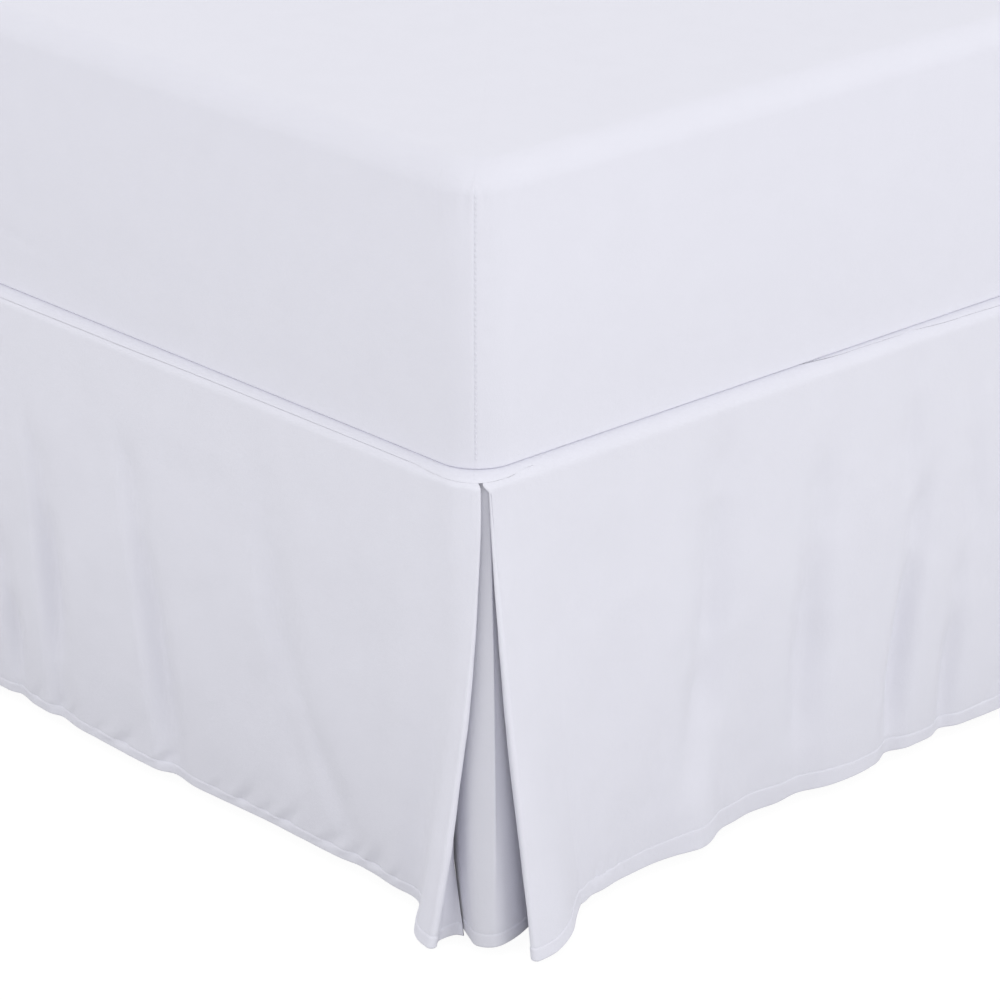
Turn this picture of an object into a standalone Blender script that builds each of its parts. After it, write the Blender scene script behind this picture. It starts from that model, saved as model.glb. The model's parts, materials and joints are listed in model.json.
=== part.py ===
"""A tailored bed skirt with inverted corner pleats, on the box spring and mattress it fits.

Metres, +Z up. X runs across the bed and Y along it, with the foot at -Y. The origin lies on the
floor at the middle of the whole object's plan. The skirt hangs on the foot and on both sides, and
the head is open. A corner is described in its own plan frame, from the sharp corner of the line
where the mattress meets the deck: "along" runs away from the corner beside a panel, and "out" away
from the bed. Depths are measured down from the deck's upper face.
"""

import math
from collections import namedtuple

import bmesh
import bpy
from mathutils import Vector

MM = 0.001

# Bed, a 60 by 80 inch one
BED_WIDTH = 1.524
BED_LENGTH = 2.032
MATTRESS_HEIGHT = 0.254
DECK_HEIGHT = 0.391
BASE_BOTTOM = 0.155
BASE_OUT = 0.007
BASE_RADIUS = 0.040
BASE_EDGE = 0.013
BASE_CHAMFER = 0.004
MATTRESS_OUT = 0.004
MATTRESS_BULGE = 0.003
MATTRESS_RADIUS = 0.037
MATTRESS_TOP_RADIUS = 0.028
BOTTOM_EDGE = 0.008
TOP_EDGE = 0.045
CROWN = 0.005
CROWN_INSET = 0.30
LEG_ROWS = (-0.90, 0.0, 0.90)
LEG_ACROSS = 0.64
LEG_TOP_RADIUS = 0.026
LEG_FOOT_RADIUS = 0.020
LEG_SIDES = 12

# Cloth
CLOTH = 0.001
HEM_CLOTH = 0.002
GAP = 0.0005
REST_GAP = 0.0003
SKIRT_DROP = 0.381
HEM_DEEP = 0.020
TIP_DROP = 0.006
TIP_REACH = 0.030
PANEL_OUT = 0.013
PANEL_RADIUS = 0.035
SEAM_OUT = 0.0111
SEAM_DEPTH = 0.008
PLEAT_START = 0.014
ROLL_DEPTH = 0.014
MEAN_LEAN = 0.013
DECK_EDGE_RADIUS = 0.015
DECK_EDGE_CENTRE = -0.002
DECK_EDGE_TURN = 54
DECK_EDGE_STEPS = 4
FOLD_RADIUS_TOP = 0.0011
FOLD_RADIUS_HEM = 0.004

WHITE = (0.82, 0.82, 0.86)
CLOTH_COLOUR = (0.80, 0.80, 0.84)
BASE_COLOUR = (0.72, 0.72, 0.74)
LEG_COLOUR = (0.35, 0.24, 0.16)

# Spacing of the sections that the panels are lofted through
CORNER_START = 0.066
NEAR_CORNER = 0.62
FINE_STEP = 0.021
COARSE_STEP = 0.058
HEM_TOP = SKIRT_DROP - HEM_DEEP
HANGING_DEPTHS = (0.055, 0.105, 0.155, 0.205, 0.255, 0.305, HEM_TOP - 4 * MM, HEM_TOP)
ROLL_SHARES = (0.0, 0.07, 0.16)
LIP_STEPS = 2
RETURN_STEPS = 2
INSERT_STEPS = 2
TURN_ANGLES = (0, 45, 90, 135, 180)
QUARTER_TURN = (0, 30, 60, 90)
MATTRESS_MIDDLES = (0.35, 0.65)
CORNER_STEPS = 5

BASE_TOP = DECK_HEIGHT - REST_GAP - CLOTH - GAP

FOOT_REACH = 0.071
HEAD_REACH = MATTRESS_OUT + MATTRESS_BULGE
ORIGIN_SHIFT = (FOOT_REACH - HEAD_REACH) / 2

# One row for each upright line of a corner: its place at the deck and at the hem, in millimetres,
# and how late its way between them bends out. An ease of 1 is a straight line.
Upright = namedtuple("Upright", "name along_top out_top along_hem out_hem ease_along ease_out")

FOOT_LIP = (
    Upright("fold", -5.4, -0.2, -22.0, 70.0, 0.8, 1.6),
    Upright("lip", -0.5, 4.8, 2.0, 64.0, 1.2, 1.7),
    Upright("shoulder", 12.9, 11.8, 29.0, 34.0, 1.4, 1.8),
    Upright("bend", 30.0, 13.0, 46.0, 25.5, 1.4, 1.6),
)
FOOT_RETURN = (
    Upright("inner", 5.8, 6.2, -17.0, 54.0, 1.6, 2.0),
    Upright("middle", 22.0, 10.7, -21.0, 42.0, 2.2, 2.6),
    Upright("crease", 45.0, 10.7, -28.0, 37.0, 2.5, 3.3),
)
SIDE_LIP = (
    Upright("fold", 2.9, 7.4, -19.5, 97.0, 1.2, 1.4),
    Upright("lip", 10.0, 10.9, 2.0, 97.0, 1.2, 1.5),
    Upright("shoulder", 22.0, 13.0, 26.0, 87.0, 1.4, 1.6),
    Upright("bend", 42.0, 13.0, 48.0, 69.0, 1.4, 1.6),
)
SIDE_RETURN = (
    Upright("inner", 14.0, 9.7, -8.0, 76.0, 1.3, 1.7),
    Upright("middle", 30.0, 10.7, 2.0, 66.0, 1.3, 1.7),
    Upright("crease", 45.0, 10.7, 12.0, 57.0, 1.4, 1.6),
)
# The insert is described in the side panel's frame.
INSERT = (
    Upright("foot_crease", -8.7, -46.0, -35.2, 30.2, 3.4, 2.5),
    Upright("foot_flat", -8.7, -29.0, -41.0, 38.5, 2.8, 2.4),
    Upright("foot_bend", -5.4, -11.0, -45.0, 51.0, 2.1, 2.0),
    Upright("ridge", 2.4, 1.2, -39.0, 61.0, 1.5, 1.5),
    Upright("side_bend", 12.8, 6.4, -29.0, 64.0, 1.5, 1.6),
    Upright("side_flat", 29.0, 8.7, -10.0, 61.0, 1.5, 1.7),
    Upright("side_crease", 46.0, 8.7, 11.0, 54.0, 1.5, 1.6),
)

# One row for each section of a hem: its place along the panel and its reach, in metres.
Section = namedtuple("Section", "along out")

FOOT_HEM = (
    Section(0.066, 0.025), Section(0.10, 0.022), Section(0.16, 0.024), Section(0.23, 0.023),
    Section(0.32, 0.027), Section(0.41, 0.030), Section(0.48, 0.028), Section(0.61, 0.024),
    Section(0.72, 0.029), Section(0.84, 0.033), Section(0.95, 0.026), Section(1.07, 0.031),
    Section(1.20, 0.026), Section(1.32, 0.023), Section(1.46, 0.025),
)
RIGHT_HEM = (
    Section(0.066, 0.056), Section(0.088, 0.050), Section(0.127, 0.045), Section(0.157, 0.044),
    Section(0.205, 0.052), Section(0.256, 0.034), Section(0.290, 0.030), Section(0.346, 0.036),
    Section(0.402, 0.042), Section(0.474, 0.034), Section(0.541, 0.032), Section(0.603, 0.035),
    Section(0.72, 0.043), Section(0.85, 0.032), Section(0.98, 0.040), Section(1.14, 0.031),
    Section(1.30, 0.038), Section(1.47, 0.030), Section(1.63, 0.037), Section(1.80, 0.029),
    Section(1.93, 0.033), Section(2.03, 0.029),
)
LEFT_HEM = (
    Section(0.066, 0.054), Section(0.10, 0.046), Section(0.17, 0.043), Section(0.24, 0.047),
    Section(0.31, 0.032), Section(0.42, 0.041), Section(0.55, 0.031), Section(0.70, 0.038),
    Section(0.88, 0.030), Section(1.04, 0.041), Section(1.21, 0.031), Section(1.38, 0.036),
    Section(1.56, 0.029), Section(1.74, 0.037), Section(1.90, 0.030), Section(2.03, 0.032),
)

# One row for each soft trough in a panel: its upper and lower ends, its width and its hollow.
Trough = namedtuple("Trough", "along_top depth_top along_low depth_low width hollow")

FOOT_TROUGHS = (
    Trough(0.540, 0.19, 0.505, 0.37, 0.014, 0.005),
    Trough(0.412, 0.15, 0.325, 0.35, 0.018, 0.004),
    Trough(0.235, 0.09, 0.120, 0.28, 0.024, 0.003),
    Trough(0.905, 0.16, 0.960, 0.36, 0.022, 0.005),
    Trough(1.240, 0.14, 1.300, 0.33, 0.026, 0.004),
)
RIGHT_TROUGHS = (
    Trough(0.240, 0.06, 0.205, 0.26, 0.026, 0.004),
    Trough(0.362, 0.12, 0.315, 0.37, 0.020, 0.004),
    Trough(0.486, 0.19, 0.440, 0.37, 0.014, 0.006),
    Trough(0.545, 0.28, 0.518, 0.37, 0.012, 0.004),
    Trough(0.860, 0.12, 0.820, 0.36, 0.028, 0.005),
    Trough(1.270, 0.14, 1.190, 0.35, 0.030, 0.005),
)
LEFT_TROUGHS = (
    Trough(0.330, 0.12, 0.290, 0.36, 0.028, 0.005),
    Trough(0.620, 0.14, 0.560, 0.35, 0.030, 0.004),
    Trough(1.260, 0.12, 1.180, 0.36, 0.030, 0.005),
)

LEFT_OPENING = 0.92  # how far the left pleat stands open, against the right one
RETURN_COLUMNS = len(FOOT_RETURN) * RETURN_STEPS


# ---------------------------------------------------------------- curves and shares

def between(start, end, share):
    return start + (end - start) * share


def fall_share(depth):
    """How far down the skirt a depth is: 0 at the deck's face and 1 at the hem."""
    return min(max(depth / SKIRT_DROP, 0.0), 1.0)


def spline(points, steps):
    """A smooth curve through all the points, with that many steps between two of them."""
    ends = [points[0] * 2 - points[1], *points, points[-1] * 2 - points[-2]]
    curve = []
    for a, b, c, d in zip(ends, ends[1:], ends[2:], ends[3:]):
        for step in range(steps):
            t = step / steps
            curve.append(
                (b * 2 + (c - a) * t + (a * 2 - b * 5 + c * 4 - d) * t**2
                 + (b * 3 - a - c * 3 + d) * t**3) / 2
            )
    return curve + [points[-1]]


def hem_reach(sections, along):
    """The hem's reach at that place along a panel, eased from one section to the next."""
    for first, second in zip(sections, sections[1:]):
        if along <= second.along:
            share = max((along - first.along) / (second.along - first.along), 0.0)
            return between(first.out, second.out, (1 - math.cos(math.pi * share)) / 2)
    return sections[-1].out


def trough_depth(troughs, along, depth):
    """How far the troughs draw a panel in towards the bed at one point."""
    total = 0.0
    for row in troughs:
        share = (depth - row.depth_top) / (row.depth_low - row.depth_top)
        middle = between(row.along_top, row.along_low, share)
        beyond = max(-share, share - 1.0, 0.0) * (row.depth_low - row.depth_top)
        fade = math.exp(-((beyond / 0.03) ** 2)) * math.sin(math.pi * min(max(share, 0.15), 0.85))
        total += row.hollow * fade * math.exp(-(((along - middle) / row.width) ** 2))
    return total


def rolled_out(depth):
    """The reach of a panel's plain face: it rolls over from the deck seam and then drops."""
    short = max(1 - (depth - SEAM_DEPTH) / (ROLL_DEPTH - SEAM_DEPTH), 0.0)
    return PANEL_OUT - (PANEL_OUT - SEAM_OUT) * short**2


def upright_point(row, depth, opening):
    """Where one upright line of a corner is at a depth, as (along, out)."""
    share = fall_share(depth)
    along = between(row.along_top, row.along_hem, opening * share**row.ease_along)
    out = between(row.out_top, row.out_hem, opening * share**row.ease_out)
    return Vector((along * MM, out * MM))


# ---------------------------------------------------------------- lines across the cloth

def fold_turn(fold, before, depth):
    """The tight turn of a pleat's front fold, from the panel's face round to its return."""
    towards = (fold - before).normalized()
    outward = Vector((towards.y, -towards.x))
    radius = between(FOLD_RADIUS_TOP, FOLD_RADIUS_HEM, fall_share(depth) ** 1.5)
    centre = fold - (towards + outward) * radius
    turn = []
    for angle in TURN_ANGLES:
        a = math.radians(angle)
        turn.append(centre + (outward * math.cos(a) + towards * math.sin(a)) * radius)
    return turn


def corner_line(lip, back, depth, opening, root):
    """A panel's line at a corner, from the inner crease round the front fold to the plain face."""
    face = spline([upright_point(row, depth, opening) for row in lip] + [root], LIP_STEPS)[:-1]
    turn = fold_turn(face[0], face[1], depth)
    rows = [upright_point(row, depth, opening) for row in back]
    inner = spline([turn[-1], *rows], RETURN_STEPS)[1:]
    return inner[::-1] + turn[::-1] + face[1:]


def face_line(sections, troughs, stops, depth):
    """A panel's line away from its corners, as (along, out)."""
    share = fall_share(depth)
    line = []
    for along in stops:
        fold = hem_reach(sections, along) - PANEL_OUT - MEAN_LEAN
        out = rolled_out(depth) + MEAN_LEAN * share + fold * share**2
        line.append(Vector((along, out - trough_depth(troughs, along, depth))))
    return line


def stops_between(start, end):
    """Places along a panel, close together near the start and wider apart after it."""
    stops = []
    along = start
    while along < end - COARSE_STEP / 2:
        stops.append(along)
        along += FINE_STEP if along < NEAR_CORNER else COARSE_STEP
    return stops + [end]


# ---------------------------------------------------------------- meshes

def make_material(name, colour, roughness):
    material = bpy.data.materials.new(name)
    material.use_nodes = True
    shader = material.node_tree.nodes["Principled BSDF"]
    shader.inputs["Base Color"].default_value = (*colour, 1.0)
    shader.inputs["Roughness"].default_value = roughness
    shader.inputs["Metallic"].default_value = 0.0
    return material


def new_object(name, bm, colour, roughness=0.9):
    bmesh.ops.recalc_face_normals(bm, faces=bm.faces)
    mesh = bpy.data.meshes.new(name)
    bm.to_mesh(mesh)
    bm.free()
    mesh.materials.append(make_material(name, colour, roughness))
    mesh.shade_smooth()
    obj = bpy.data.objects.new(name, mesh)
    collection.objects.link(obj)
    return obj


def thicken(obj, thickness, thin_share=1.0, doubled_below=None):
    """Gives a cloth its thickness. Above the hem, if it has one, it keeps only a share of it."""
    solid = obj.modifiers.new("thickness", "SOLIDIFY")
    solid.thickness = thickness
    solid.offset = 0.0
    if doubled_below is None:
        return
    group = obj.vertex_groups.new(name="hem")
    for vertex in obj.data.vertices:
        weight = 1.0 if vertex.co.z < doubled_below else thin_share
        group.add([vertex.index], weight, "REPLACE")
    solid.vertex_group = group.name


def row_depths(top, hem):
    """Depths of the rows of a hanging cloth, from its top edge to its hem."""
    rolled = [between(top, HANGING_DEPTHS[0], share) for share in ROLL_SHARES]
    return rolled + list(HANGING_DEPTHS) + [hem]


def hung_cloth(name, line_at, tops, hems):
    """A cloth hung from its top edge, where line_at(depth) is its plan line, a point a column."""
    bm = bmesh.new()
    columns = [row_depths(top, hem) for top, hem in zip(tops, hems)]
    lines = {depth: line_at(depth) for depths in columns for depth in depths}
    grid = []
    for row in range(len(columns[0])):
        verts = []
        for column, depths in enumerate(columns):
            place = lines[depths[row]][column]
            verts.append(bm.verts.new((place.x, place.y, DECK_HEIGHT - depths[row])))
        grid.append(verts)
    for upper, lower in zip(grid, grid[1:]):
        for i in range(len(upper) - 1):
            bm.faces.new((upper[i], upper[i + 1], lower[i + 1], lower[i]))
    obj = new_object(name, bm, CLOTH_COLOUR)
    thicken(obj, HEM_CLOTH, CLOTH / HEM_CLOTH, DECK_HEIGHT - HEM_TOP + MM)


def rounded_rectangle(out, radius, height):
    """A level ring round the bed, that far outside the line where the mattress meets the deck."""
    x = BED_WIDTH / 2 + out - radius
    y = BED_LENGTH / 2 + out - radius
    ring = []
    for quarter, (side, end) in enumerate(((1, 1), (-1, 1), (-1, -1), (1, -1))):
        for step in range(CORNER_STEPS + 1):
            a = math.radians(90 * (quarter + step / CORNER_STEPS))
            across = side * x + radius * math.cos(a)
            ring.append(Vector((across, end * y + radius * math.sin(a) + ORIGIN_SHIFT, height)))
    return ring


def loft(name, rings, colour, floor=True):
    """A form through level rings, closed by a face at the top and, for a solid, at the bottom."""
    bm = bmesh.new()
    grid = [[bm.verts.new(point) for point in ring] for ring in rings]
    count = len(grid[0])
    for lower, upper in zip(grid, grid[1:]):
        for i in range(count):
            bm.faces.new((lower[i], lower[(i + 1) % count], upper[(i + 1) % count], upper[i]))
    bm.faces.new(grid[-1])
    if floor:
        bm.faces.new(grid[0][::-1])
    return new_object(name, bm, colour)


# ---------------------------------------------------------------- the bed

def make_legs():
    height = BASE_BOTTOM - GAP
    places = [(side * LEG_ACROSS, row) for side in (-1, 1) for row in LEG_ROWS]
    for number, (across, row) in enumerate(places, start=1):
        bm = bmesh.new()
        bmesh.ops.create_cone(
            bm, cap_ends=True, segments=LEG_SIDES, radius1=LEG_FOOT_RADIUS,
            radius2=LEG_TOP_RADIUS, depth=height,
        )
        leg = new_object(f"leg_{number}", bm, LEG_COLOUR, roughness=0.5)
        leg.location = (across, row + ORIGIN_SHIFT, height / 2)


def make_base():
    """A plain box spring with rounded upper edges."""
    rings = [
        rounded_rectangle(BASE_OUT - BASE_CHAMFER, BASE_RADIUS - BASE_CHAMFER, BASE_BOTTOM),
        rounded_rectangle(BASE_OUT, BASE_RADIUS, BASE_BOTTOM + BASE_CHAMFER),
    ]
    for angle in QUARTER_TURN:
        a = math.radians(angle)
        inward = BASE_EDGE * (1 - math.cos(a))
        height = BASE_TOP - BASE_EDGE * (1 - math.sin(a))
        rings.append(rounded_rectangle(BASE_OUT - inward, BASE_RADIUS - inward, height))
    loft("bed_base", rings, BASE_COLOUR)


def make_mattress():
    """One filled solid: a close bottom edge, sides that swell a little, a soft rim and a crown."""
    middle = MATTRESS_OUT + MATTRESS_BULGE
    sections = []
    for angle in QUARTER_TURN:
        a = math.radians(angle)
        inward = BOTTOM_EDGE * (1 - math.sin(a))
        height = BOTTOM_EDGE * (1 - math.cos(a))
        sections.append((MATTRESS_OUT - inward, MATTRESS_RADIUS - inward, height))
    for share in MATTRESS_MIDDLES:
        sections.append((middle, MATTRESS_RADIUS, MATTRESS_HEIGHT * share))
    for angle in QUARTER_TURN:
        a = math.radians(angle)
        inward = TOP_EDGE * (1 - math.cos(a))
        radius = between(MATTRESS_RADIUS, MATTRESS_TOP_RADIUS, inward / TOP_EDGE)
        height = MATTRESS_HEIGHT - CROWN - TOP_EDGE * (1 - math.sin(a))
        sections.append((MATTRESS_OUT - inward, radius, height))
    sections.append((-CROWN_INSET, MATTRESS_TOP_RADIUS, MATTRESS_HEIGHT))
    loft("mattress", [rounded_rectangle(o, r, DECK_HEIGHT + h) for o, r, h in sections], WHITE)


# ---------------------------------------------------------------- the skirt

def make_deck():
    """The platform sheet, its edge turned down over the base on three sides and flat at the head."""
    head = BED_LENGTH / 2 + ORIGIN_SHIFT
    rings = []
    for angle in range(DECK_EDGE_TURN, -1, -DECK_EDGE_TURN // DECK_EDGE_STEPS):
        a = math.radians(angle)
        out = DECK_EDGE_CENTRE + DECK_EDGE_RADIUS * math.sin(a)
        drop = DECK_EDGE_RADIUS * (1 - math.cos(a))
        ring = rounded_rectangle(out, PANEL_RADIUS, DECK_HEIGHT - REST_GAP - CLOTH / 2)
        for point in ring:
            point.z -= drop * min(max((head - point.y) / PANEL_RADIUS, 0.0), 1.0)
        rings.append(ring)
    thicken(loft("deck", rings, CLOTH_COLOUR, floor=False), CLOTH)


def edge_depths(line, turns):
    """Depths of a panel's top edge and hem at each column. A turn is where a front fold starts
    and which way its columns run."""
    folds = [start + step * (len(TURN_ANGLES) // 2) for start, step in turns]
    tops, hems = [], []
    for column, point in enumerate(line):
        near = min((point - line[fold]).length for fold in folds)
        hems.append(SKIRT_DROP + TIP_DROP * math.exp(-((near / TIP_REACH) ** 2)))
        hidden = any((column - fold) * step < 0 for fold, (_, step) in zip(folds, turns))
        tops.append(PLEAT_START if hidden else SEAM_DEPTH)
    return tops, hems


def foot_plan(side, point):
    """World plan of a place given as (along, out) beside the foot panel, from one of its corners."""
    return Vector((side * (BED_WIDTH / 2 - point.x), ORIGIN_SHIFT - BED_LENGTH / 2 - point.y))


def side_plan(side, point):
    """World plan of a place given as (along, out) beside a side panel."""
    return Vector((side * (BED_WIDTH / 2 + point.y), ORIGIN_SHIFT - BED_LENGTH / 2 + point.x))


def make_foot_panel():
    """One cloth, folded back behind itself at both foot corners."""
    stops = stops_between(CORNER_START, BED_WIDTH - CORNER_START)

    def line_at(depth):
        face = face_line(FOOT_HEM, FOOT_TROUGHS, stops, depth)
        far_root = Vector((CORNER_START, face[-1].y))
        right = corner_line(FOOT_LIP, FOOT_RETURN, depth, 1.0, face[0])
        left = corner_line(FOOT_LIP, FOOT_RETURN, depth, LEFT_OPENING, far_root)
        line = [foot_plan(1, point) for point in right + face]
        return line + [foot_plan(-1, point) for point in left[::-1]]

    line = line_at(SKIRT_DROP)
    turns = ((RETURN_COLUMNS, 1), (len(line) - 1 - RETURN_COLUMNS, -1))
    hung_cloth("skirt_foot", line_at, *edge_depths(line, turns))


def make_side_panel(name, side, sections, troughs, opening):
    """One cloth, folded back behind itself at the foot corner and cut plain at the head."""
    stops = stops_between(CORNER_START, BED_LENGTH)

    def line_at(depth):
        face = face_line(sections, troughs, stops, depth)
        corner = corner_line(SIDE_LIP, SIDE_RETURN, depth, opening, face[0])
        return [side_plan(side, point) for point in corner + face]

    tops_and_hems = edge_depths(line_at(SKIRT_DROP), ((RETURN_COLUMNS, 1),))
    hung_cloth(name, line_at, *tops_and_hems)


def make_insert(name, side, opening):
    """The pleat's back layer, from the foot panel's inner crease round to the side panel's."""

    def line_at(depth):
        rows = [upright_point(row, depth, opening) for row in INSERT]
        return [side_plan(side, point) for point in spline(rows, INSERT_STEPS)]

    columns = len(line_at(SKIRT_DROP))
    hung_cloth(name, line_at, [PLEAT_START] * columns, [SKIRT_DROP] * columns)


for leftover in list(bpy.data.objects):
    bpy.data.objects.remove(leftover, do_unlink=True)
collection = bpy.data.collections.new("bed_skirt")
bpy.context.scene.collection.children.link(collection)
make_legs()
make_base()
make_deck()
make_mattress()
make_foot_panel()
make_side_panel("skirt_right", 1, RIGHT_HEM, RIGHT_TROUGHS, 1.0)
make_side_panel("skirt_left", -1, LEFT_HEM, LEFT_TROUGHS, LEFT_OPENING)
make_insert("pleat_right", 1, 1.0)
make_insert("pleat_left", -1, LEFT_OPENING)
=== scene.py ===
"""Looks of a tailored bed skirt with inverted corner pleats, on the bed it fits.

Metres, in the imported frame: +Z up, X across the bed, Y along it with the foot at -Y. A panel is
described by "along", which runs away from the corner that the camera looks at, "out", away from
the bed, and the depth below the deck's upper face. Every cloth is a grid of its middle surface
that is given its thickness last.
"""

import json
import math
from collections import namedtuple

import bpy
import numpy as np
from mathutils import Matrix, Vector, noise

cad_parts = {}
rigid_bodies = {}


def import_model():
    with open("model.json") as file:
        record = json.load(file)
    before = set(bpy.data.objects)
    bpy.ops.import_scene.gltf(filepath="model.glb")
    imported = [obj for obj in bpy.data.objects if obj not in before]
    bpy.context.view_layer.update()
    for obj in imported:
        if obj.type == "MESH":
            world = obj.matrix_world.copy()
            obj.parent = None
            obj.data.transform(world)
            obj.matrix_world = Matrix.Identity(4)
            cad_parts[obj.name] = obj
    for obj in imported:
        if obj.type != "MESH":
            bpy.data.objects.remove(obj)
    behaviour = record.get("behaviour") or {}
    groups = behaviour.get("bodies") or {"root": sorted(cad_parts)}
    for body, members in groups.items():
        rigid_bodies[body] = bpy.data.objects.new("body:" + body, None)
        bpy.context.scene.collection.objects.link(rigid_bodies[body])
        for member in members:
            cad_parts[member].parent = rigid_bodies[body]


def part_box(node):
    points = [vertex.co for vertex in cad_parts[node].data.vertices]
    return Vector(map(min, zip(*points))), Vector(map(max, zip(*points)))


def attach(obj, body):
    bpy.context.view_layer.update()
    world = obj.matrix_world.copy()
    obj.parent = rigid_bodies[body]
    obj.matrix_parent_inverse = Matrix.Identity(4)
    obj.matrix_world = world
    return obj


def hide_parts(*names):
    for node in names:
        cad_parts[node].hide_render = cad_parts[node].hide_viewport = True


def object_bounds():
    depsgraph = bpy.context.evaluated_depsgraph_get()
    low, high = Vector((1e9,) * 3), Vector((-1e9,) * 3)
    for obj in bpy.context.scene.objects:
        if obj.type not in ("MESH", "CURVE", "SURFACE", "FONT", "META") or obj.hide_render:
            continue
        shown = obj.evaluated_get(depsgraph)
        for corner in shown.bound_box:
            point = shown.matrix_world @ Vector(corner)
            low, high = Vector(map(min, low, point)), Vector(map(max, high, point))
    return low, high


MM = 0.001
BODY = "root"
PLAIN_FIELDS = ("side", "lean")  # of the tables' fields, those that are not a length

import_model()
cad_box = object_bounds()

# ---------------------------------------------------------------- sizes

MATTRESS_OUT = 0.004
MATTRESS_BULGE = 0.003
MATTRESS_RADIUS = 0.037
MATTRESS_TOP_RADIUS = 0.030
TOP_EDGE = 0.025
BOTTOM_EDGE = 0.0016
BOTTOM_SAG = 0.0006
CROWN = 0.005
CROWN_INSET = 0.30

mattress_low, mattress_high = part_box("mattress")
BED_WIDTH = mattress_high.x - mattress_low.x - 2 * (MATTRESS_OUT + MATTRESS_BULGE)
BED_LENGTH = mattress_high.y - mattress_low.y - 2 * (MATTRESS_OUT + MATTRESS_BULGE)
ORIGIN_SHIFT = (mattress_high.y + mattress_low.y) / 2
DECK_HEIGHT = mattress_low.z
MATTRESS_HEIGHT = mattress_high.z - mattress_low.z
FOOT_LINE = ORIGIN_SHIFT - BED_LENGTH / 2
HEAD_LINE = ORIGIN_SHIFT + BED_LENGTH / 2

CLOTH = 0.001
HEM_CLOTH = 0.002
REST_GAP = 0.0003
SKIRT_DROP = 0.381
TIP_DROP = 0.006
TIP_REACH = 0.030
TIP_START = 0.25
PANEL_OUT = 0.013
PANEL_RADIUS = 0.035
SEAM_OUT = 0.0111
SEAM_DEPTH = 0.008
PLEAT_START = 0.014
RIDGE_RISE = 0.0062
RIDGE_WIDTH = 0.9  # in steps between the insert's upright lines
ROLL_DEPTH = 0.014
PLAIN_START = 0.0090
PLAIN_EASE = 0.0022
TROUGH_END = 0.03
TROUGH_SHARES = (0.15, 0.85)
MEAN_LEAN = 0.013
DECK_EDGE_RADIUS = 0.015
DECK_EDGE_CENTRE = -0.002
DECK_MIDDLE = REST_GAP + CLOTH / 2
FOLD_RADIUS_TOP = 0.0011
SIDE_PINCH = (-0.0051, -0.0030)
INSERT_BEND = (-0.0012, -0.0024)
PINCH_DEPTH = 0.0045
FOLD_RADIUS_HEM = 0.004
CORNER_START = 0.066
LEFT_OPENING = 0.92  # how far the unseen pleat stands open, against the other one

# Sewing
SEAM_GAP = 0.000025
SEAM_ACROSS = 0.05
SEAM_TUCK = 0.00004
SEAM_LIP = 0.0012
SEAM_SHOULDER = 0.006
SEAM_SHARP = 60.0
HEAD_TUCK = 0.0019
LEAST_RAISED = 0.01
STITCH_PITCH = 0.0034
STITCH_LENGTH = 0.0025
STITCH_RADIUS = 0.00022
STITCH_SINK = 0.0004
COVER_STITCH_PITCH = 0.0047
COVER_STITCH_LENGTH = 0.0036
COVER_STITCH_RADIUS = 0.00055

# Spacing of the fine grids
FINE_COLUMN = 0.004
COARSE_COLUMN = 0.010
COLUMN_EASE = 0.10
NEAR_CORNER = 0.64
LIP_STEPS = 8
LIP_FIRST = 2  # the first of those steps that has a column, past the fold's turn
RETURN_STEPS = 6
INSERT_STEPS = 8
TURN_ANGLES = tuple(range(0, 181, 20))

# One row for each upright line of a corner: its place at the deck and at the hem, in millimetres,
# and how late its way between them bends out. An ease of 1 is a straight line.
Upright = namedtuple("Upright", "name along_top out_top along_hem out_hem ease_along ease_out")

FOOT_LIP = (
    Upright("fold", -5.4, -0.2, -22.0, 70.0, 0.8, 1.6),
    Upright("lip", -0.5, 4.8, 2.0, 64.0, 1.2, 1.7),
    Upright("shoulder", 12.9, 11.8, 29.0, 34.0, 1.4, 1.8),
    Upright("bend", 30.0, 13.0, 46.0, 25.5, 1.4, 1.6),
)
FOOT_RETURN = (
    Upright("inner", 5.8, 6.2, -17.0, 54.0, 1.6, 2.0),
    Upright("middle", 22.0, 10.7, -21.0, 42.0, 2.2, 2.6),
    Upright("crease", 45.0, 10.7, -28.0, 38.5, 2.5, 3.3),
)
SIDE_LIP = (
    Upright("fold", 6.9, 9.6, -22.0, 96.0, 1.6, 1.3),
    Upright("lip", 10.4, 11.0, 2.0, 97.0, 1.2, 1.45),
    Upright("shoulder", 22.0, 13.0, 26.0, 87.0, 1.4, 1.6),
    Upright("bend", 42.0, 13.0, 48.0, 69.0, 1.4, 1.6),
)
SIDE_RETURN = (
    Upright("inner", 14.0, 9.7, -8.0, 76.0, 1.3, 1.7),
    Upright("middle", 30.0, 10.7, 2.0, 66.0, 1.3, 1.7),
    Upright("crease", 45.0, 10.7, 12.0, 57.0, 1.4, 1.6),
)
# The insert is described in the side panel's frame.
INSERT_RIDGE = Upright("ridge", 7.6, 5.6, -39.0, 61.0, 1.8, 1.4)
INSERT = (
    Upright("foot_crease", -8.7, -46.0, -31.5, 20.0, 3.4, 2.5),
    Upright("foot_flat", -8.7, -29.0, -40.0, 38.0, 2.8, 2.4),
    Upright("foot_bend", -5.4, -11.0, -45.0, 51.0, 2.1, 2.0),
    INSERT_RIDGE,
    Upright("side_bend", 12.8, 6.4, -29.0, 64.0, 1.5, 1.6),
    Upright("side_flat", 29.0, 8.7, -10.0, 61.0, 1.5, 1.7),
    Upright("side_crease", 46.0, 8.7, 11.0, 54.0, 1.5, 1.6),
)


def table(kind, *rows):
    """Rows of that kind, whose lengths are given in millimetres and kept in metres."""
    scales = [1 if field in PLAIN_FIELDS else MM for field in kind._fields]
    return tuple(kind(*(value * scale for value, scale in zip(row, scales))) for row in rows)


# One row for each section of a hem: its place along the panel and its reach.
Section = namedtuple("Section", "along out")

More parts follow.
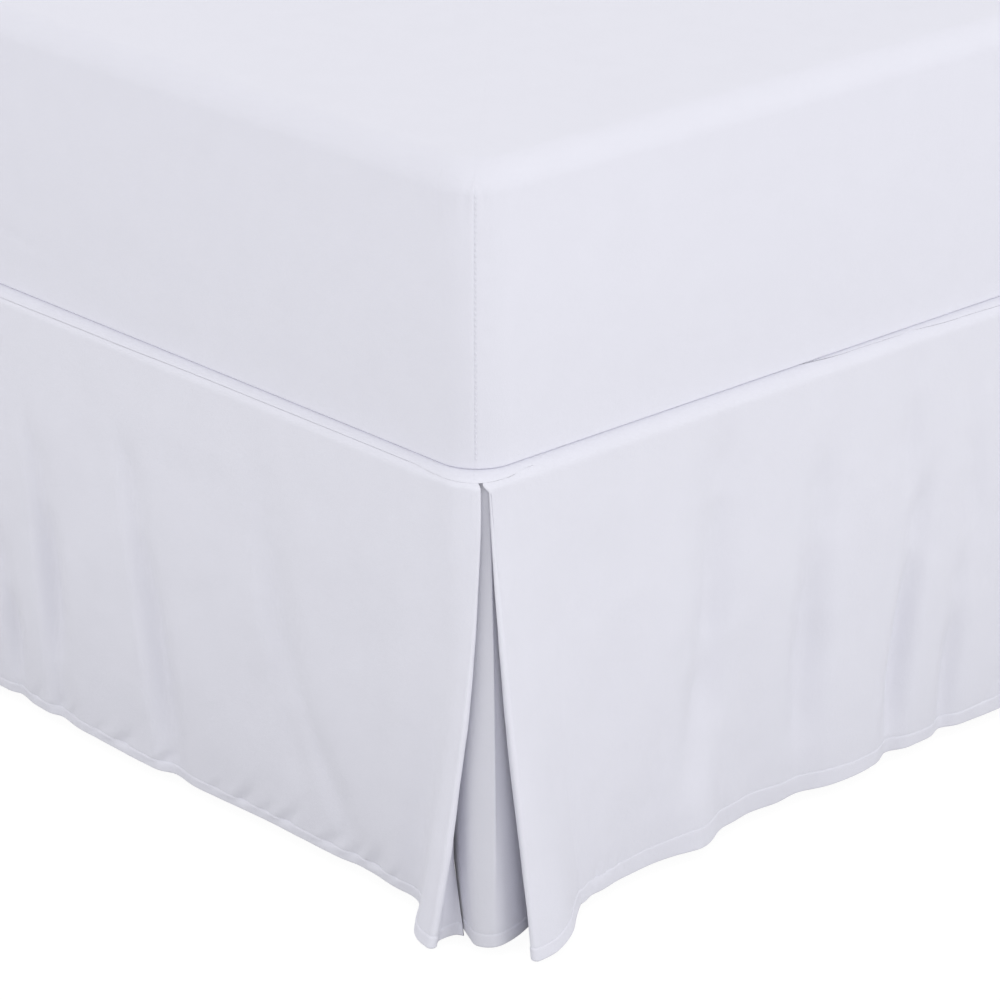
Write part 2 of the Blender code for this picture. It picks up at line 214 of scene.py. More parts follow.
FOOT_HEM = table(
    Section,
    (66, 25), (100, 22), (160, 24), (230, 23), (320, 27), (410, 30), (480, 28), (610, 24),
    (720, 29), (840, 33), (950, 26), (1070, 31), (1200, 26), (1320, 23), (1460, 25),
)
RIGHT_HEM = table(
    Section,
    (66, 56), (88, 50), (127, 45), (157, 44), (205, 52), (256, 34), (290, 30), (346, 36),
    (402, 42), (474, 34), (541, 32), (603, 35), (720, 43), (850, 32), (980, 40), (1140, 31),
    (1300, 38), (1470, 30), (1630, 37), (1800, 29), (1930, 33), (2030, 29),
)
LEFT_HEM = table(
    Section,
    (66, 54), (100, 46), (170, 43), (240, 47), (310, 32), (420, 41), (550, 31), (700, 38),
    (880, 30), (1040, 41), (1210, 31), (1380, 36), (1560, 29), (1740, 37), (1900, 30), (2030, 32),
)

# One row for each section of a seam or of a hem's stitch line: its place and its distance.
Width = namedtuple("Width", "along size")

FOOT_HEM_WIDTH = table(Width, (0, 9.5), (100, 8.5), (450, 8.5), (1500, 9.5))
RIGHT_HEM_WIDTH = table(
    Width,
    (0, 10), (90, 12.5), (145, 14.5), (215, 17), (290, 17.5), (360, 15), (440, 12.5), (520, 10.5),
    (600, 13), (1000, 12), (2030, 13),
)
LEFT_HEM_WIDTH = table(Width, (0, 10), (300, 13), (1200, 11), (2030, 13))
INSERT_HEM_WIDTH = table(Width, (0, 10), (1000, 10))
FOOT_SEAM = table(
    Width,
    (0, 8), (35, 7.8), (60, 6.6), (300, 7), (460, 8.2), (600, 8.8), (900, 7.5), (1524, 8),
)
RIGHT_SEAM = table(
    Width,
    (0, 8), (25, 7.4), (49, 5.4), (85, 1.1), (100, 0.9), (340, 0.9), (420, 3), (490, 3.4),
    (555, 5.2), (620, 6.2), (700, 6.6), (1200, 5.8), (1600, 7.2), (2030, 8),
)
LEFT_SEAM = table(Width, (0, 8), (60, 6.5), (400, 5), (900, 7), (1500, 5.8), (2030, 8))

# One row for each soft trough in a panel: its upper and lower ends, its width and hollow, and
# how much steeper it is on the side away from the corner (as a share of the width).
Trough = namedtuple("Trough", "along_top depth_top along_low depth_low width hollow lean")

FOOT_TROUGHS = table(
    Trough,
    (556, 150, 522, 365, 19, 13, 0.4), (424, 120, 350, 420, 19, 12, 0.3),
    (246, 80, 205, 300, 24, 7, 0.2), (604, 260, 582, 385, 15, 9, 0.3),
    (200, 240, 120, 380, 20, 4, 0.2), (690, 120, 660, 330, 20, 4, 0),
    (905, 160, 960, 360, 22, 8, 0), (1240, 140, 1300, 330, 26, 8, 0),
)
RIGHT_TROUGHS = table(
    Trough,
    (262, 60, 244, 240, 26, 9, 0), (242, 200, 192, 370, 26, 10, 0),
    (382, 120, 342, 385, 23, 13, 0), (507, 170, 456, 400, 17, 16, 0),
    (556, 250, 524, 420, 15, 10, 0), (195, 230, 155, 360, 20, 3, 0),
    (497, 40, 492, 170, 16, 4, 0), (572, 80, 583, 240, 16, 4, 0), (650, 100, 640, 330, 18, 4, 0),
    (860, 120, 820, 360, 24, 9, 0), (1270, 140, 1190, 350, 26, 9, 0),
)
LEFT_TROUGHS = table(
    Trough,
    (330, 120, 290, 360, 24, 9, 0), (620, 140, 560, 350, 26, 8, 0),
    (1260, 120, 1180, 360, 26, 9, 0),
)

# One row for each gather above a hem's stitches: where it meets them, its run and its hollow.
Pucker = namedtuple("Pucker", "along length width hollow lean")

FOOT_PUCKERS = table(
    Pucker,
    (556, 16, 5, 1.4, 0.7), (528, 10, 4, 0.9, 0.9), (503, 12, 4, 1.1, 0.8),
    (463, 10, 4.5, 0.9, 0.9), (428, 18, 7.5, 2.5, 1), (374, 13, 5, 1.8, 0.9),
    (303, 10, 4.5, 0.9, 0.8), (268, 18, 6, 2.5, 0.8), (240, 12, 4, 1.1, 0.9),
    (212, 19, 6, 2.3, 0.9), (157, 16, 6.5, 1.8, 1), (125, 14, 6, 2, 0.8), (101, 18, 8, 2.5, 0.7),
    (72, 10, 4, 1.1, 0.9),
)
RIGHT_PUCKERS = table(
    Pucker,
    (93, 12, 4.5, 2, -0.3), (106, 11, 4.5, 1.8, -0.3), (122, 8, 4, 0.9, -0.3),
    (585, 10, 4.5, 0.9, -0.4),
)


# ---------------------------------------------------------------- curves and shares

def between(start, end, share):
    return start + (end - start) * share


def smooth(share):
    """0 below 0, 1 above 1, and a soft rise between them."""
    share = np.clip(share, 0.0, 1.0)
    return share * share * (3 - 2 * share)


def bell(off):
    """A bell curve: 1 in the middle, and about a third at 1 to either side."""
    return np.exp(-(off**2))


def fall_share(depth):
    """How far down the skirt a depth is: 0 at the deck's face and 1 at the hem."""
    return np.clip(depth / SKIRT_DROP, 0.0, 1.0)


def spline(points, steps):
    """A smooth curve through all the points, with that many steps between two of them."""
    ends = [points[0] * 2 - points[1], *points, points[-1] * 2 - points[-2]]
    curve = []
    for a, b, c, d in zip(ends, ends[1:], ends[2:], ends[3:]):
        for step in range(steps):
            t = step / steps
            curve.append(
                (b * 2 + (c - a) * t + (a * 2 - b * 5 + c * 4 - d) * t**2
                 + (b * 3 - a - c * 3 + d) * t**3) / 2
            )
    return np.array(curve + [points[-1]])


def eased(rows, along):
    """A table's value at places along a panel, eased from one row to the next."""
    places = np.array([row[0] for row in rows])
    values = np.array([row[1] for row in rows])
    along = np.clip(along, places[0], places[-1])
    after = np.clip(np.searchsorted(places, along), 1, len(places) - 1)
    share = (along - places[after - 1]) / (places[after] - places[after - 1])
    return between(values[after - 1], values[after], (1 - np.cos(np.pi * share)) / 2)


def trough_depth(rows, along, depth):
    """How far troughs draw a panel in towards the bed. The cloth rises a little beside each."""
    total = np.zeros(np.broadcast(along, depth).shape)
    for row in rows:
        share = (depth - row.depth_top) / (row.depth_low - row.depth_top)
        middle = between(row.along_top, row.along_low, share)
        beyond = np.maximum(np.maximum(-share, share - 1), 0) * (row.depth_low - row.depth_top)
        fade = bell(beyond / TROUGH_END) * np.sin(np.pi * np.clip(share, *TROUGH_SHARES))
        width = row.width * np.where(along > middle, 1 - row.lean, 1 + row.lean)
        off = ((along - middle) / width) ** 2
        total += row.hollow * fade * np.exp(-off) * (1 - 0.5 * off)
    return total


def uneven(points, wave, seed):
    """A soft unevenness from -1 to 1 over points, whose bumps are about one wave apart."""
    flat = points.reshape(-1, 3) / wave + seed
    values = np.array([noise.noise(Vector(place)) for place in flat])
    return values.reshape(points.shape[:-1])


def rolled_out(depth):
    """The reach of a panel's plain face: over the box spring's edge on an arc, then down."""
    fall = np.clip(depth - DECK_MIDDLE, 0.0, DECK_EDGE_RADIUS)
    arc = DECK_EDGE_CENTRE + np.sqrt(DECK_EDGE_RADIUS**2 - (DECK_EDGE_RADIUS - fall) ** 2)
    short = np.maximum(1 - (depth - SEAM_DEPTH) / (ROLL_DEPTH - SEAM_DEPTH), 0.0)
    plain = PANEL_OUT - (PANEL_OUT - SEAM_OUT) * short**2
    return between(arc, plain, smooth((depth - PLAIN_START) / PLAIN_EASE))


# ---------------------------------------------------------------- places on the cloths

def upright_points(rows, depth, opening):
    """Where upright lines are at depths, as (along, out): one more pair of axes than the depths."""
    share = fall_share(depth)
    lines = []
    for row in rows:
        along = between(row.along_top, row.along_hem, opening * share**row.ease_along)
        out = between(row.out_top, row.out_hem, opening * share**row.ease_out)
        lines.append(np.stack((along, out), axis=-1))
    return np.stack(lines, axis=-2) * MM


def across(lines, steps):
    """Weights of a smooth curve through that many upright lines, one row for each of its places."""
    return spline(list(np.eye(lines)), steps)


def woven(weights, places):
    """Mixes upright lines' places, one row of weights for each column."""
    return np.einsum("ck,mckx->mcx", weights, places)


def fold_turn(fold, before, depth):
    """The tight turn of a pleat's front fold, from the panel's face round to its return."""
    towards = fold - before
    towards = towards / np.linalg.norm(towards, axis=-1, keepdims=True)
    outward = np.stack((towards[..., 1], -towards[..., 0]), axis=-1)
    radius = between(FOLD_RADIUS_TOP, FOLD_RADIUS_HEM, fall_share(depth) ** 1.5)[..., None]
    angles = np.radians(TURN_ANGLES)[None, :, None]
    centre = fold - (towards + outward) * radius
    return centre + (outward * np.cos(angles) + towards * np.sin(angles)) * radius


def drawn_to_seam(places, depth):
    """Brings a corner's places in to the deck's rounded edge, over a few millimetres below it."""
    near = 1 - smooth((depth - SEAM_DEPTH) / SEAM_SHOULDER)
    reach = rolled_out(depth)
    along = np.minimum(places[..., 0] - (PANEL_RADIUS - reach), 0.0)
    out = places[..., 1] + PANEL_RADIUS - reach
    length = np.hypot(along, out)
    inward = (near * (1 - PANEL_RADIUS / length))[..., None]
    return places - np.stack((along, out), axis=-1) * inward


def top_bend(depth, reach):
    """How far a cloth's top bends away from its own line, with that reach as (along, out)."""
    near = bell(np.maximum(depth - SEAM_DEPTH, 0) / PINCH_DEPTH)
    return near[..., None] * np.array(reach)


def corner_columns(lip, back, depths, opening, root_at):
    """A panel's places at a corner, from the inner crease round the front fold to the plain face.

    depths holds one array for each stretch: the hidden return, the turn and the face."""
    hidden, turning, face = depths
    turning = turning[:, ::-1]
    face_weights = across(len(lip) + 1, LIP_STEPS)[:-1]

    def face_lines(depth):
        lines = upright_points(lip, depth, opening)
        if lip is SIDE_LIP:
            lines[:, :, 0] += top_bend(depth, SIDE_PINCH)
        return np.concatenate((lines, root_at(depth)[:, :, None, :]), axis=2)

    front = drawn_to_seam(woven(face_weights[LIP_FIRST:], face_lines(face)), face)
    lines = face_lines(turning)
    before = woven(np.tile(face_weights[LIP_FIRST], (lines.shape[1], 1)), lines)
    turn = drawn_to_seam(fold_turn(lines[:, :, 0], before, turning), turning)

    lines = face_lines(hidden)
    count = lines.shape[1]
    before = woven(np.tile(face_weights[LIP_FIRST], (count, 1)), lines)
    firsts = (lines[:, :1, 0], before[:, :1], hidden[:, :1])
    ends = fold_turn(*(np.repeat(first, len(TURN_ANGLES), axis=1) for first in firsts))[:, -1]
    rows = np.concatenate(
        (np.repeat(ends[:, None, None, :], count, axis=1), upright_points(back, hidden, opening)),
        axis=2,
    )
    inner = woven(across(len(back) + 1, RETURN_STEPS)[1:], rows)
    return np.concatenate((inner[:, ::-1], turn[:, ::-1], front), axis=1)


def face_points(sections, troughs, along, depth):
    """A panel's places away from its corners."""
    share = fall_share(depth)
    fold = eased(sections, along) - PANEL_OUT - MEAN_LEAN
    out = rolled_out(depth) + MEAN_LEAN * share + fold * share**2
    along = np.broadcast_to(along, out.shape)
    return np.stack((along, out - trough_depth(troughs, along, depth)), axis=-1)


def columns_between(start, end):
    """Places along a panel, close together where the camera looks and wider apart after it."""
    places = [start]
    while places[-1] < end - COARSE_COLUMN:
        wide = smooth((places[-1] - NEAR_CORNER) / COLUMN_EASE)
        places.append(places[-1] + between(FINE_COLUMN, COARSE_COLUMN, wide))
    return np.array(places + [end])


def foot_plan(side, points):
    """World plan of places given as (along, out) beside the foot panel, from one of its corners."""
    return np.stack((side * (BED_WIDTH / 2 - points[..., 0]), FOOT_LINE - points[..., 1]), axis=-1)


def side_plan(side, points):
    """World plan of places given as (along, out) beside a side panel."""
    return np.stack((side * (BED_WIDTH / 2 + points[..., 1]), FOOT_LINE + points[..., 0]), axis=-1)


# ---------------------------------------------------------------- cloth grids

# Shares of the way from a cloth's top edge down its roll, then rows down to the hem's gathers,
# then distances from the hem's stitch line, and last shares of the round of the hem's edge.
ROLL_SHARES = (0.0, 0.005, 0.018, 0.045, 0.085, 0.13, 0.19, 0.26, 0.34, 0.42, 0.51, 0.60, 0.70,
               0.80, 0.90)
ROLL_END = 0.020
BODY_ROWS = 64
GATHER_RISE = 0.014
GATHER_ROWS = 8
STITCH_ROWS = (-0.0017, -0.0010, -0.0005, 0.0, 0.0005, 0.0010, 0.0017)
BAND_ROWS = 6
EDGE_STEPS = (0.94, 0.74, 0.50, 0.26, 0.10, 0.0)
STITCH_ROW = len(ROLL_SHARES) + BODY_ROWS + GATHER_ROWS + STITCH_ROWS.index(0.0)


def row_depths(tops, hem_widths):
    """Depths of a hanging cloth's rows (first axis) at each column."""
    stitches = SKIRT_DROP - hem_widths
    gathers = stitches - GATHER_RISE
    edge_start = SKIRT_DROP - HEM_CLOTH / 2
    rolled = [between(tops, ROLL_END, share) for share in ROLL_SHARES]
    body = [between(ROLL_END, gathers, row / BODY_ROWS) for row in range(BODY_ROWS)]
    gathered = [between(gathers, stitches + STITCH_ROWS[0], row / GATHER_ROWS)
                for row in range(GATHER_ROWS)]
    sewn = [stitches + step for step in STITCH_ROWS]
    band = [between(sewn[-1], edge_start, row / BAND_ROWS) for row in range(1, BAND_ROWS)]
    edge = [np.full_like(tops, SKIRT_DROP - HEM_CLOTH / 2 * step) for step in EDGE_STEPS]
    return np.array(rolled + body + gathered + sewn + band + edge)


def normals_of(points):
    """Unit normals of a grid of points."""
    down = np.gradient(points, axis=0)
    over = np.gradient(points, axis=1)
    normal = np.cross(over, down)
    return normal / np.maximum(np.linalg.norm(normal, axis=-1, keepdims=True), 1e-12)


def run_along(points):
    """How far each column is along a cloth, averaged over its rows."""
    steps = np.linalg.norm(np.diff(points, axis=1), axis=-1).mean(axis=0)
    return np.concatenate(((0.0,), np.cumsum(steps)))


def quads_of(first, rows, columns, turned=False):
    """Faces of a grid whose first vertex has that number."""
    index = first + np.arange(rows * columns).reshape(rows, columns)
    faces = np.stack((index[:-1, :-1], index[:-1, 1:], index[1:, 1:], index[1:, :-1]), axis=-1)
    faces = faces.reshape(-1, 4)
    return faces[:, ::-1] if turned else faces


def strip_of(front, back):
    """Faces between two equal runs of vertices."""
    return np.stack((front[:-1], back[:-1], back[1:], front[1:]), axis=-1)


def enter(piece, node=None):
    """Attaches a piece to the frame's body and hides the CAD node that it replaces, if any."""
    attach(piece, BODY)
    if node:
        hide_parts(node)


def new_mesh(name, vertices, faces, material, attributes=()):
    mesh = bpy.data.meshes.new(name)
    mesh.from_pydata(vertices.tolist(), [], faces if isinstance(faces, list) else faces.tolist())
    for label, kind, field, values in attributes:
        attribute = mesh.attributes.new(label, kind, "POINT")
        attribute.data.foreach_set(field, np.ascontiguousarray(values, np.float32).ravel())
    mesh.materials.append(material)
    mesh.shade_smooth()
    mesh.update()
    obj = bpy.data.objects.new(name, mesh)
    bpy.context.scene.collection.objects.link(obj)
    return obj


def solid_sheet(name, points, thickness, weave, layers, material):
    """A cloth of that thickness round a grid of its middle surface, closed at its rims.

    weave holds each point's place on the flat cloth, and layers how far it is doubled."""
    rows, columns = points.shape[:2]
    half = normals_of(points) * (thickness / 2)[..., None]
    count = rows * columns
    vertices = np.concatenate(((points + half).reshape(-1, 3), (points - half).reshape(-1, 3)))
    index = np.arange(count).reshape(rows, columns)
    faces = np.concatenate((
        quads_of(0, rows, columns),
        quads_of(count, rows, columns, turned=True),
        strip_of(index[0], index[0] + count),
        strip_of(index[-1], index[-1] + count)[:, ::-1],
        strip_of(index[:, 0], index[:, 0] + count)[:, ::-1],
        strip_of(index[:, -1], index[:, -1] + count),
    ))
    attributes = (
        ("weave", "FLOAT_VECTOR", "vector", np.tile(weave.reshape(-1, 3), (2, 1))),
        ("layers", "FLOAT", "value", np.tile(layers.ravel(), 2)),
    )
    return new_mesh(name, vertices, faces, material, attributes)


# ---------------------------------------------------------------- sewing

SEWN_WAVE = 0.0075
SEWN_RUN = 0.03
GATHER_BELOW = 0.003
GATHER_RIDGE = 0.45
HEM_STEP_ABOVE = 0.0003
HEM_STEP = 0.0010
SEWN_REACH = 0.006
VALLEY_WIDTH = 0.0008
VALLEY = 0.0005
EDGE_LEAST = 0.06
BROAD_WAVE = 0.085
SLACK_START = 0.02
SLACK_EASE = 0.10
FINE_WAVE = 0.024


def gathers(rows, along, above):
    """How far the gathers over a hem's stitch line draw a panel in."""
    total = np.zeros(above.shape)
    for row in rows:
        off = (along - row.along + row.lean * above) / math.hypot(1.0, row.lean)
        run = np.where(above > 0, bell(above / row.length), bell(above / GATHER_BELOW))
        dent = bell(off / row.width)
        ridge = GATHER_RIDGE * bell((off - 1.5 * row.width) / row.width)
        total += row.hollow * run * (dent - ridge)
    return total


def sewn_ripple(along, distance, size, seed):
    """The small ripples that a seam leaves in the cloth beside it."""
    flat = np.stack((along / SEWN_WAVE + seed, distance / SEWN_RUN, np.zeros_like(along)), axis=-1)
    values = [noise.noise(Vector(place)) for place in flat.reshape(-1, 3)]
    ripple = np.array(values).reshape(along.shape)
    return size * ripple * bell(distance / SEWN_REACH)


def hem_thickness(depth, hem_widths):
    """A cloth's thickness, doubled in its hem, drawn in at the stitches and round at its edge."""
    stitches = SKIRT_DROP - hem_widths
    layers = smooth((depth - stitches + HEM_STEP_ABOVE) / HEM_STEP)
    thickness = between(CLOTH, HEM_CLOTH, layers)
    thickness = thickness - VALLEY * bell((depth - stitches) / VALLEY_WIDTH)
    rest = np.clip((SKIRT_DROP - depth) / (HEM_CLOTH / 2), 0.0, 1.0)
    round_edge = np.sqrt(np.maximum(1 - (1 - rest) ** 2, EDGE_LEAST**2))
    return thickness * round_edge, layers


def along_line(points, pitch):
    """Places at an even pitch along a line of points, each as an index with a fraction."""
    run = np.concatenate(((0.0,), np.cumsum(np.linalg.norm(np.diff(points, axis=0), axis=1))))
    count = int(run[-1] / pitch)
    return np.interp((np.arange(count) + 0.5) * pitch, run, np.arange(len(run)))


def at(values, places):
    """Values between the entries of a list, at fractional places."""
    low = np.clip(places.astype(int), 0, len(values) - 2)
    share = (places - low)[:, None]
    return between(values[low], values[low + 1], share)


STITCH_SIDES = 5
STITCH_RINGS = ((-0.5, 0.0), (-0.30, 1.0), (0.30, 1.0), (0.5, 0.0))


def stitches(name, runs, pitch, length, radius, material):
    """Threads lying along lines of points, as one mesh. A run is (points, normals)."""
    vertices, faces = [], []
    for points, normals in runs:
        places = along_line(points, pitch)
        centres = at(points, places)
        lift = at(normals, places)
        run = at(np.gradient(points, axis=0), places)
        run /= np.linalg.norm(run, axis=1, keepdims=True)
        side = np.cross(run, lift)
        for centre, up, way, beside in zip(centres, lift, run, side):
            first = len(vertices)
            for share, size in STITCH_RINGS:
                middle = centre + way * length * share - up * STITCH_SINK * (1 - size)
                if not size:
                    vertices.append(middle)
                    continue
                for turn in range(STITCH_SIDES):
                    a = 2 * math.pi * turn / STITCH_SIDES
                    vertices.append(middle + (up * math.cos(a) + beside * math.sin(a)) * radius)
            last = first + 1 + 2 * STITCH_SIDES
            for turn in range(STITCH_SIDES):
                a = first + 1 + turn
                b = first + 1 + (turn + 1) % STITCH_SIDES
                faces.append((first, b, a))
                faces.append((a, b, b + STITCH_SIDES, a + STITCH_SIDES))
                faces.append((last, a + STITCH_SIDES, b + STITCH_SIDES))
    return new_mesh(name, np.array(vertices), faces, material)


# ---------------------------------------------------------------- the skirt

def edge_drops(plan, folds):
    """How much lower each column of a cloth hangs, near the tips of its front folds."""
    if not folds:
        return np.zeros(len(plan))
    near = np.min([np.linalg.norm(plan - plan[fold], axis=1) for fold in folds], axis=0)
    return TIP_DROP * bell(near / TIP_REACH)


def hung_cloth(name, node, plan, depths, folds, along, hem_widths, sewing, material,
               turned=False):
    """A hanging cloth with its hem and its stitches, from its plan places at its rows' depths."""
    drop = edge_drops(plan[-1], folds) * smooth((depths - TIP_START) / (SKIRT_DROP - TIP_START))
    points = np.concatenate((plan, (DECK_HEIGHT - depths - drop)[..., None]), axis=-1)
    if turned:
        points, depths, along = points[:, ::-1], depths[:, ::-1], along[..., ::-1]
        hem_widths = hem_widths[::-1]
    along = np.broadcast_to(along, depths.shape)
    above = SKIRT_DROP - hem_widths - depths
    hanging = smooth((depths - SLACK_START) / SLACK_EASE)
    normal = normals_of(points)
    relief = -gathers(sewing.puckers, along, above)
    relief += sewn_ripple(along, above, sewing.hem_ripple, sewing.seed)
    relief += sewing.broad * uneven(points, BROAD_WAVE, sewing.seed) * hanging
    relief += sewing.fine * uneven(points, FINE_WAVE, sewing.seed) * hanging
    if sewing.seam:
        below = depths - depths[0]
        ripple = eased(sewing.seam, along)
        relief += sewn_ripple(along, below, ripple, sewing.seed + 7) * smooth(below / SEAM_LIP)
        relief -= SEAM_TUCK * (1 - smooth(below / SEAM_LIP))
    thickness, layers = hem_thickness(depths, hem_widths)
    points = points + normal * relief[..., None]
    run = np.broadcast_to(run_along(points), depths.shape)
    weave = np.stack((run, depths, np.zeros_like(run)), axis=-1)
    cloth = solid_sheet(name, points, thickness, weave, layers, material)
    cloth.data.set_sharp_from_angle(angle=math.radians(SEAM_SHARP))
    outer = points + normals_of(points) * (thickness / 2)[..., None]
    thread = stitches(name + "_stitches", [(outer[STITCH_ROW], normal[STITCH_ROW])],
                      STITCH_PITCH, STITCH_LENGTH, STITCH_RADIUS, thread_material)
    enter(cloth, node)
    enter(thread)
    return cloth


Sewing = namedtuple("Sewing", "puckers hem_ripple seam broad fine seed")
RETURN_COLUMNS = len(FOOT_RETURN) * RETURN_STEPS
TURN_COLUMNS = len(TURN_ANGLES)
LIP_COLUMNS = len(FOOT_LIP) * LIP_STEPS - LIP_FIRST
CORNER_COLUMNS = RETURN_COLUMNS + TURN_COLUMNS + LIP_COLUMNS
FOLD_COLUMN = RETURN_COLUMNS + TURN_COLUMNS // 2
BURIED = -0.2  # the place along a panel that hidden columns are given, which no gather reaches

FOOT_SEAM_RIPPLE = table(
    Width,
    (0, 0.08), (300, 0.1), (400, 0.3), (520, 0.3), (600, 0.12), (1524, 0.12),
)
RIGHT_SEAM_RIPPLE = table(
    Width,
    (0, 0.06), (420, 0.06), (500, 0.22), (620, 0.3), (700, 0.12), (2100, 0.14),
)


def lip_along(lip):
    """The places along a panel, at its seam, of the columns between its front fold and its face."""
    places = np.array([row.along_top * MM for row in lip] + [CORNER_START])
    return (across(len(lip) + 1, LIP_STEPS) @ places)[LIP_FIRST:-1]


def corner_along(lip):
    """The places along a panel that a corner's columns have, from the inner crease to the face."""
    hidden = np.full(RETURN_COLUMNS + TURN_COLUMNS, BURIED)
    return np.concatenate((hidden, lip_along(lip)))


def seam_gap(seam, along):
    """Half the gap at a seam. It is wider where the seam bends or runs across the roll."""
    before, after = eased(seam, along - FINE_COLUMN), eased(seam, along + FINE_COLUMN)
    bend = np.abs(before + after - 2 * eased(seam, along)) / 4
    return SEAM_GAP + bend + SEAM_ACROSS * np.abs(after - before)


def corner_tops(seam, lip, width=0.0):
    """The depths at which a corner's columns start: the hidden ones tuck in under the deck.

    A panel's far corner gives its width, from which its places along the seam are measured."""
    hidden = np.full(RETURN_COLUMNS, PLEAT_START)
    turning = np.linspace(PLEAT_START, SEAM_DEPTH + SEAM_GAP, TURN_COLUMNS)
    along = np.abs(width - lip_along(lip))
    return np.concatenate((hidden, turning, eased(seam, along) + seam_gap(seam, along)))


def split(depths):
    """A corner's depths as its three stretches."""
    turn_end = RETURN_COLUMNS + TURN_COLUMNS
    return depths[:, :RETURN_COLUMNS], depths[:, RETURN_COLUMNS:turn_end], depths[:, turn_end:]


def make_foot_cloth():
    """The foot panel, folded back behind itself at both foot corners."""
    face = columns_between(CORNER_START, BED_WIDTH - CORNER_START)
    near_along = corner_along(FOOT_LIP)
    far_along = np.where(near_along > BURIED, BED_WIDTH - near_along, BURIED)[::-1]
    along = np.concatenate((near_along, face, far_along))
    near_tops = corner_tops(FOOT_SEAM, FOOT_LIP)
    far_tops = corner_tops(FOOT_SEAM, FOOT_LIP, BED_WIDTH)[::-1]
    face_tops = eased(FOOT_SEAM, face) + seam_gap(FOOT_SEAM, face)
    tops = np.concatenate((near_tops, face_tops, far_tops))
    hem_widths = eased(FOOT_HEM_WIDTH, along)
    depths = row_depths(tops, hem_widths)
    near, middle, far = np.split(depths, [CORNER_COLUMNS, CORNER_COLUMNS + len(face)], axis=1)

    def near_root(depth):
        return face_points(FOOT_HEM, FOOT_TROUGHS, np.array([face[0]]), depth)

    def far_root(depth):
        out = face_points(FOOT_HEM, FOOT_TROUGHS, np.array([face[-1]]), depth)[..., 1]
        return np.stack((np.full_like(out, CORNER_START), out), axis=-1)

    right = corner_columns(FOOT_LIP, FOOT_RETURN, split(near), 1.0, near_root)
    left = corner_columns(FOOT_LIP, FOOT_RETURN, split(far[:, ::-1]), LEFT_OPENING, far_root)
    plan = np.concatenate((
        foot_plan(1, right),
        foot_plan(1, face_points(FOOT_HEM, FOOT_TROUGHS, face, middle)),
        foot_plan(-1, left[:, ::-1]),
    ), axis=1)
    folds = (FOLD_COLUMN, len(along) - 1 - FOLD_COLUMN)
    sewing = Sewing(FOOT_PUCKERS, 0.00035, FOOT_SEAM_RIPPLE, 0.0015, 0.00040, 3.0)
    return hung_cloth("skirt_foot_cloth", "skirt_foot", plan, depths, folds, along, hem_widths,
                      sewing, skirt_material)


def side_tops(seam, face):
    """The depths at which a side panel starts. At the head it tucks up under the deck's edge."""
    raised = 1 - np.clip((BED_LENGTH - face) / PANEL_RADIUS, 0.0, 1.0)
    tucked = DECK_MIDDLE + HEAD_TUCK / np.maximum(raised, LEAST_RAISED)
    return np.minimum(eased(seam, face) + seam_gap(seam, face), tucked)


def make_side_cloth(name, node, side, sections, troughs, seam, widths, opening, sewing):
    """A side panel, folded back behind itself at the foot corner and cut plain at the head."""
    face = columns_between(CORNER_START, BED_LENGTH)
    along = np.concatenate((corner_along(SIDE_LIP), face))
    tops = np.concatenate((corner_tops(seam, SIDE_LIP), side_tops(seam, face)))
    hem_widths = eased(widths, along)
    depths = row_depths(tops, hem_widths)

    def root(depth):
        return face_points(sections, troughs, np.array([face[0]]), depth)

    corner = corner_columns(SIDE_LIP, SIDE_RETURN, split(depths[:, :CORNER_COLUMNS]), opening, root)
    plain = face_points(sections, troughs, face, depths[:, CORNER_COLUMNS:])
    plan = side_plan(side, np.concatenate((corner, plain), axis=1))
    return hung_cloth(name, node, plan, depths, (FOLD_COLUMN,), along, hem_widths, sewing,
                      skirt_material, turned=side > 0)


def make_insert_cloth(name, node, side, opening):
    """The pleat's back layer, from the foot panel's inner crease round to the side panel's."""
    weights = across(len(INSERT), INSERT_STEPS)
    count = len(weights)
    along = np.linspace(0.0, INSERT_FLAT[0], count)
    hem_widths = eased(INSERT_HEM_WIDTH, along)
    ridge = (INSERT.index(INSERT_RIDGE) * INSERT_STEPS - np.arange(count)) / INSERT_STEPS
    tops = PLEAT_START - RIDGE_RISE * bell(ridge / RIDGE_WIDTH)
    depths = row_depths(tops, hem_widths)
    places = woven(weights, upright_points(INSERT, depths, opening))
    places += top_bend(depths, INSERT_BEND)
    plan = side_plan(side, places)
    sewing = Sewing((), 0.00020, (), 0.0004, 0.00015, 11.0)
    return hung_cloth(name, node, plan, depths, (), along, hem_widths, sewing,
                      skirt_material, turned=side > 0)


INSERT_FLAT = (0.10, 0.39)


# ---------------------------------------------------------------- lofts round the bed

CORNER_TURNS = (0.0, 0.8, 1.6, 2.6, 4.0, 6.5, 10.0, 14.0, 19.0, 25.0, 32.0, 39.0, 45.0)
QUARTERS = ((1, 1), (-1, 1), (-1, -1), (1, -1))
SEEN_QUARTER = 3
STEP_GROWTH = 0.3
# The distances between a ring's points: at a corner, where the camera looks, and elsewhere.
DECK_SPACING = (0.0030, 0.0045, 0.012)
COVER_SPACING = (0.0020, 0.0050, 0.014)
BASE_SPACING = (0.004, 0.012, 0.012)
HEAD, LEFT, FOOT, RIGHT = range(4)

# Where a ring's points are: the corner before each, how far on to the next corner, its angle and
# the side of the bed it is on.
Stations = namedtuple("Stations", "quarter share angle side")

# A closed form's rings: their points, how far round the bed each point is and how far it has
# climbed over the surface.
Rings = namedtuple("Rings", "points run climb")


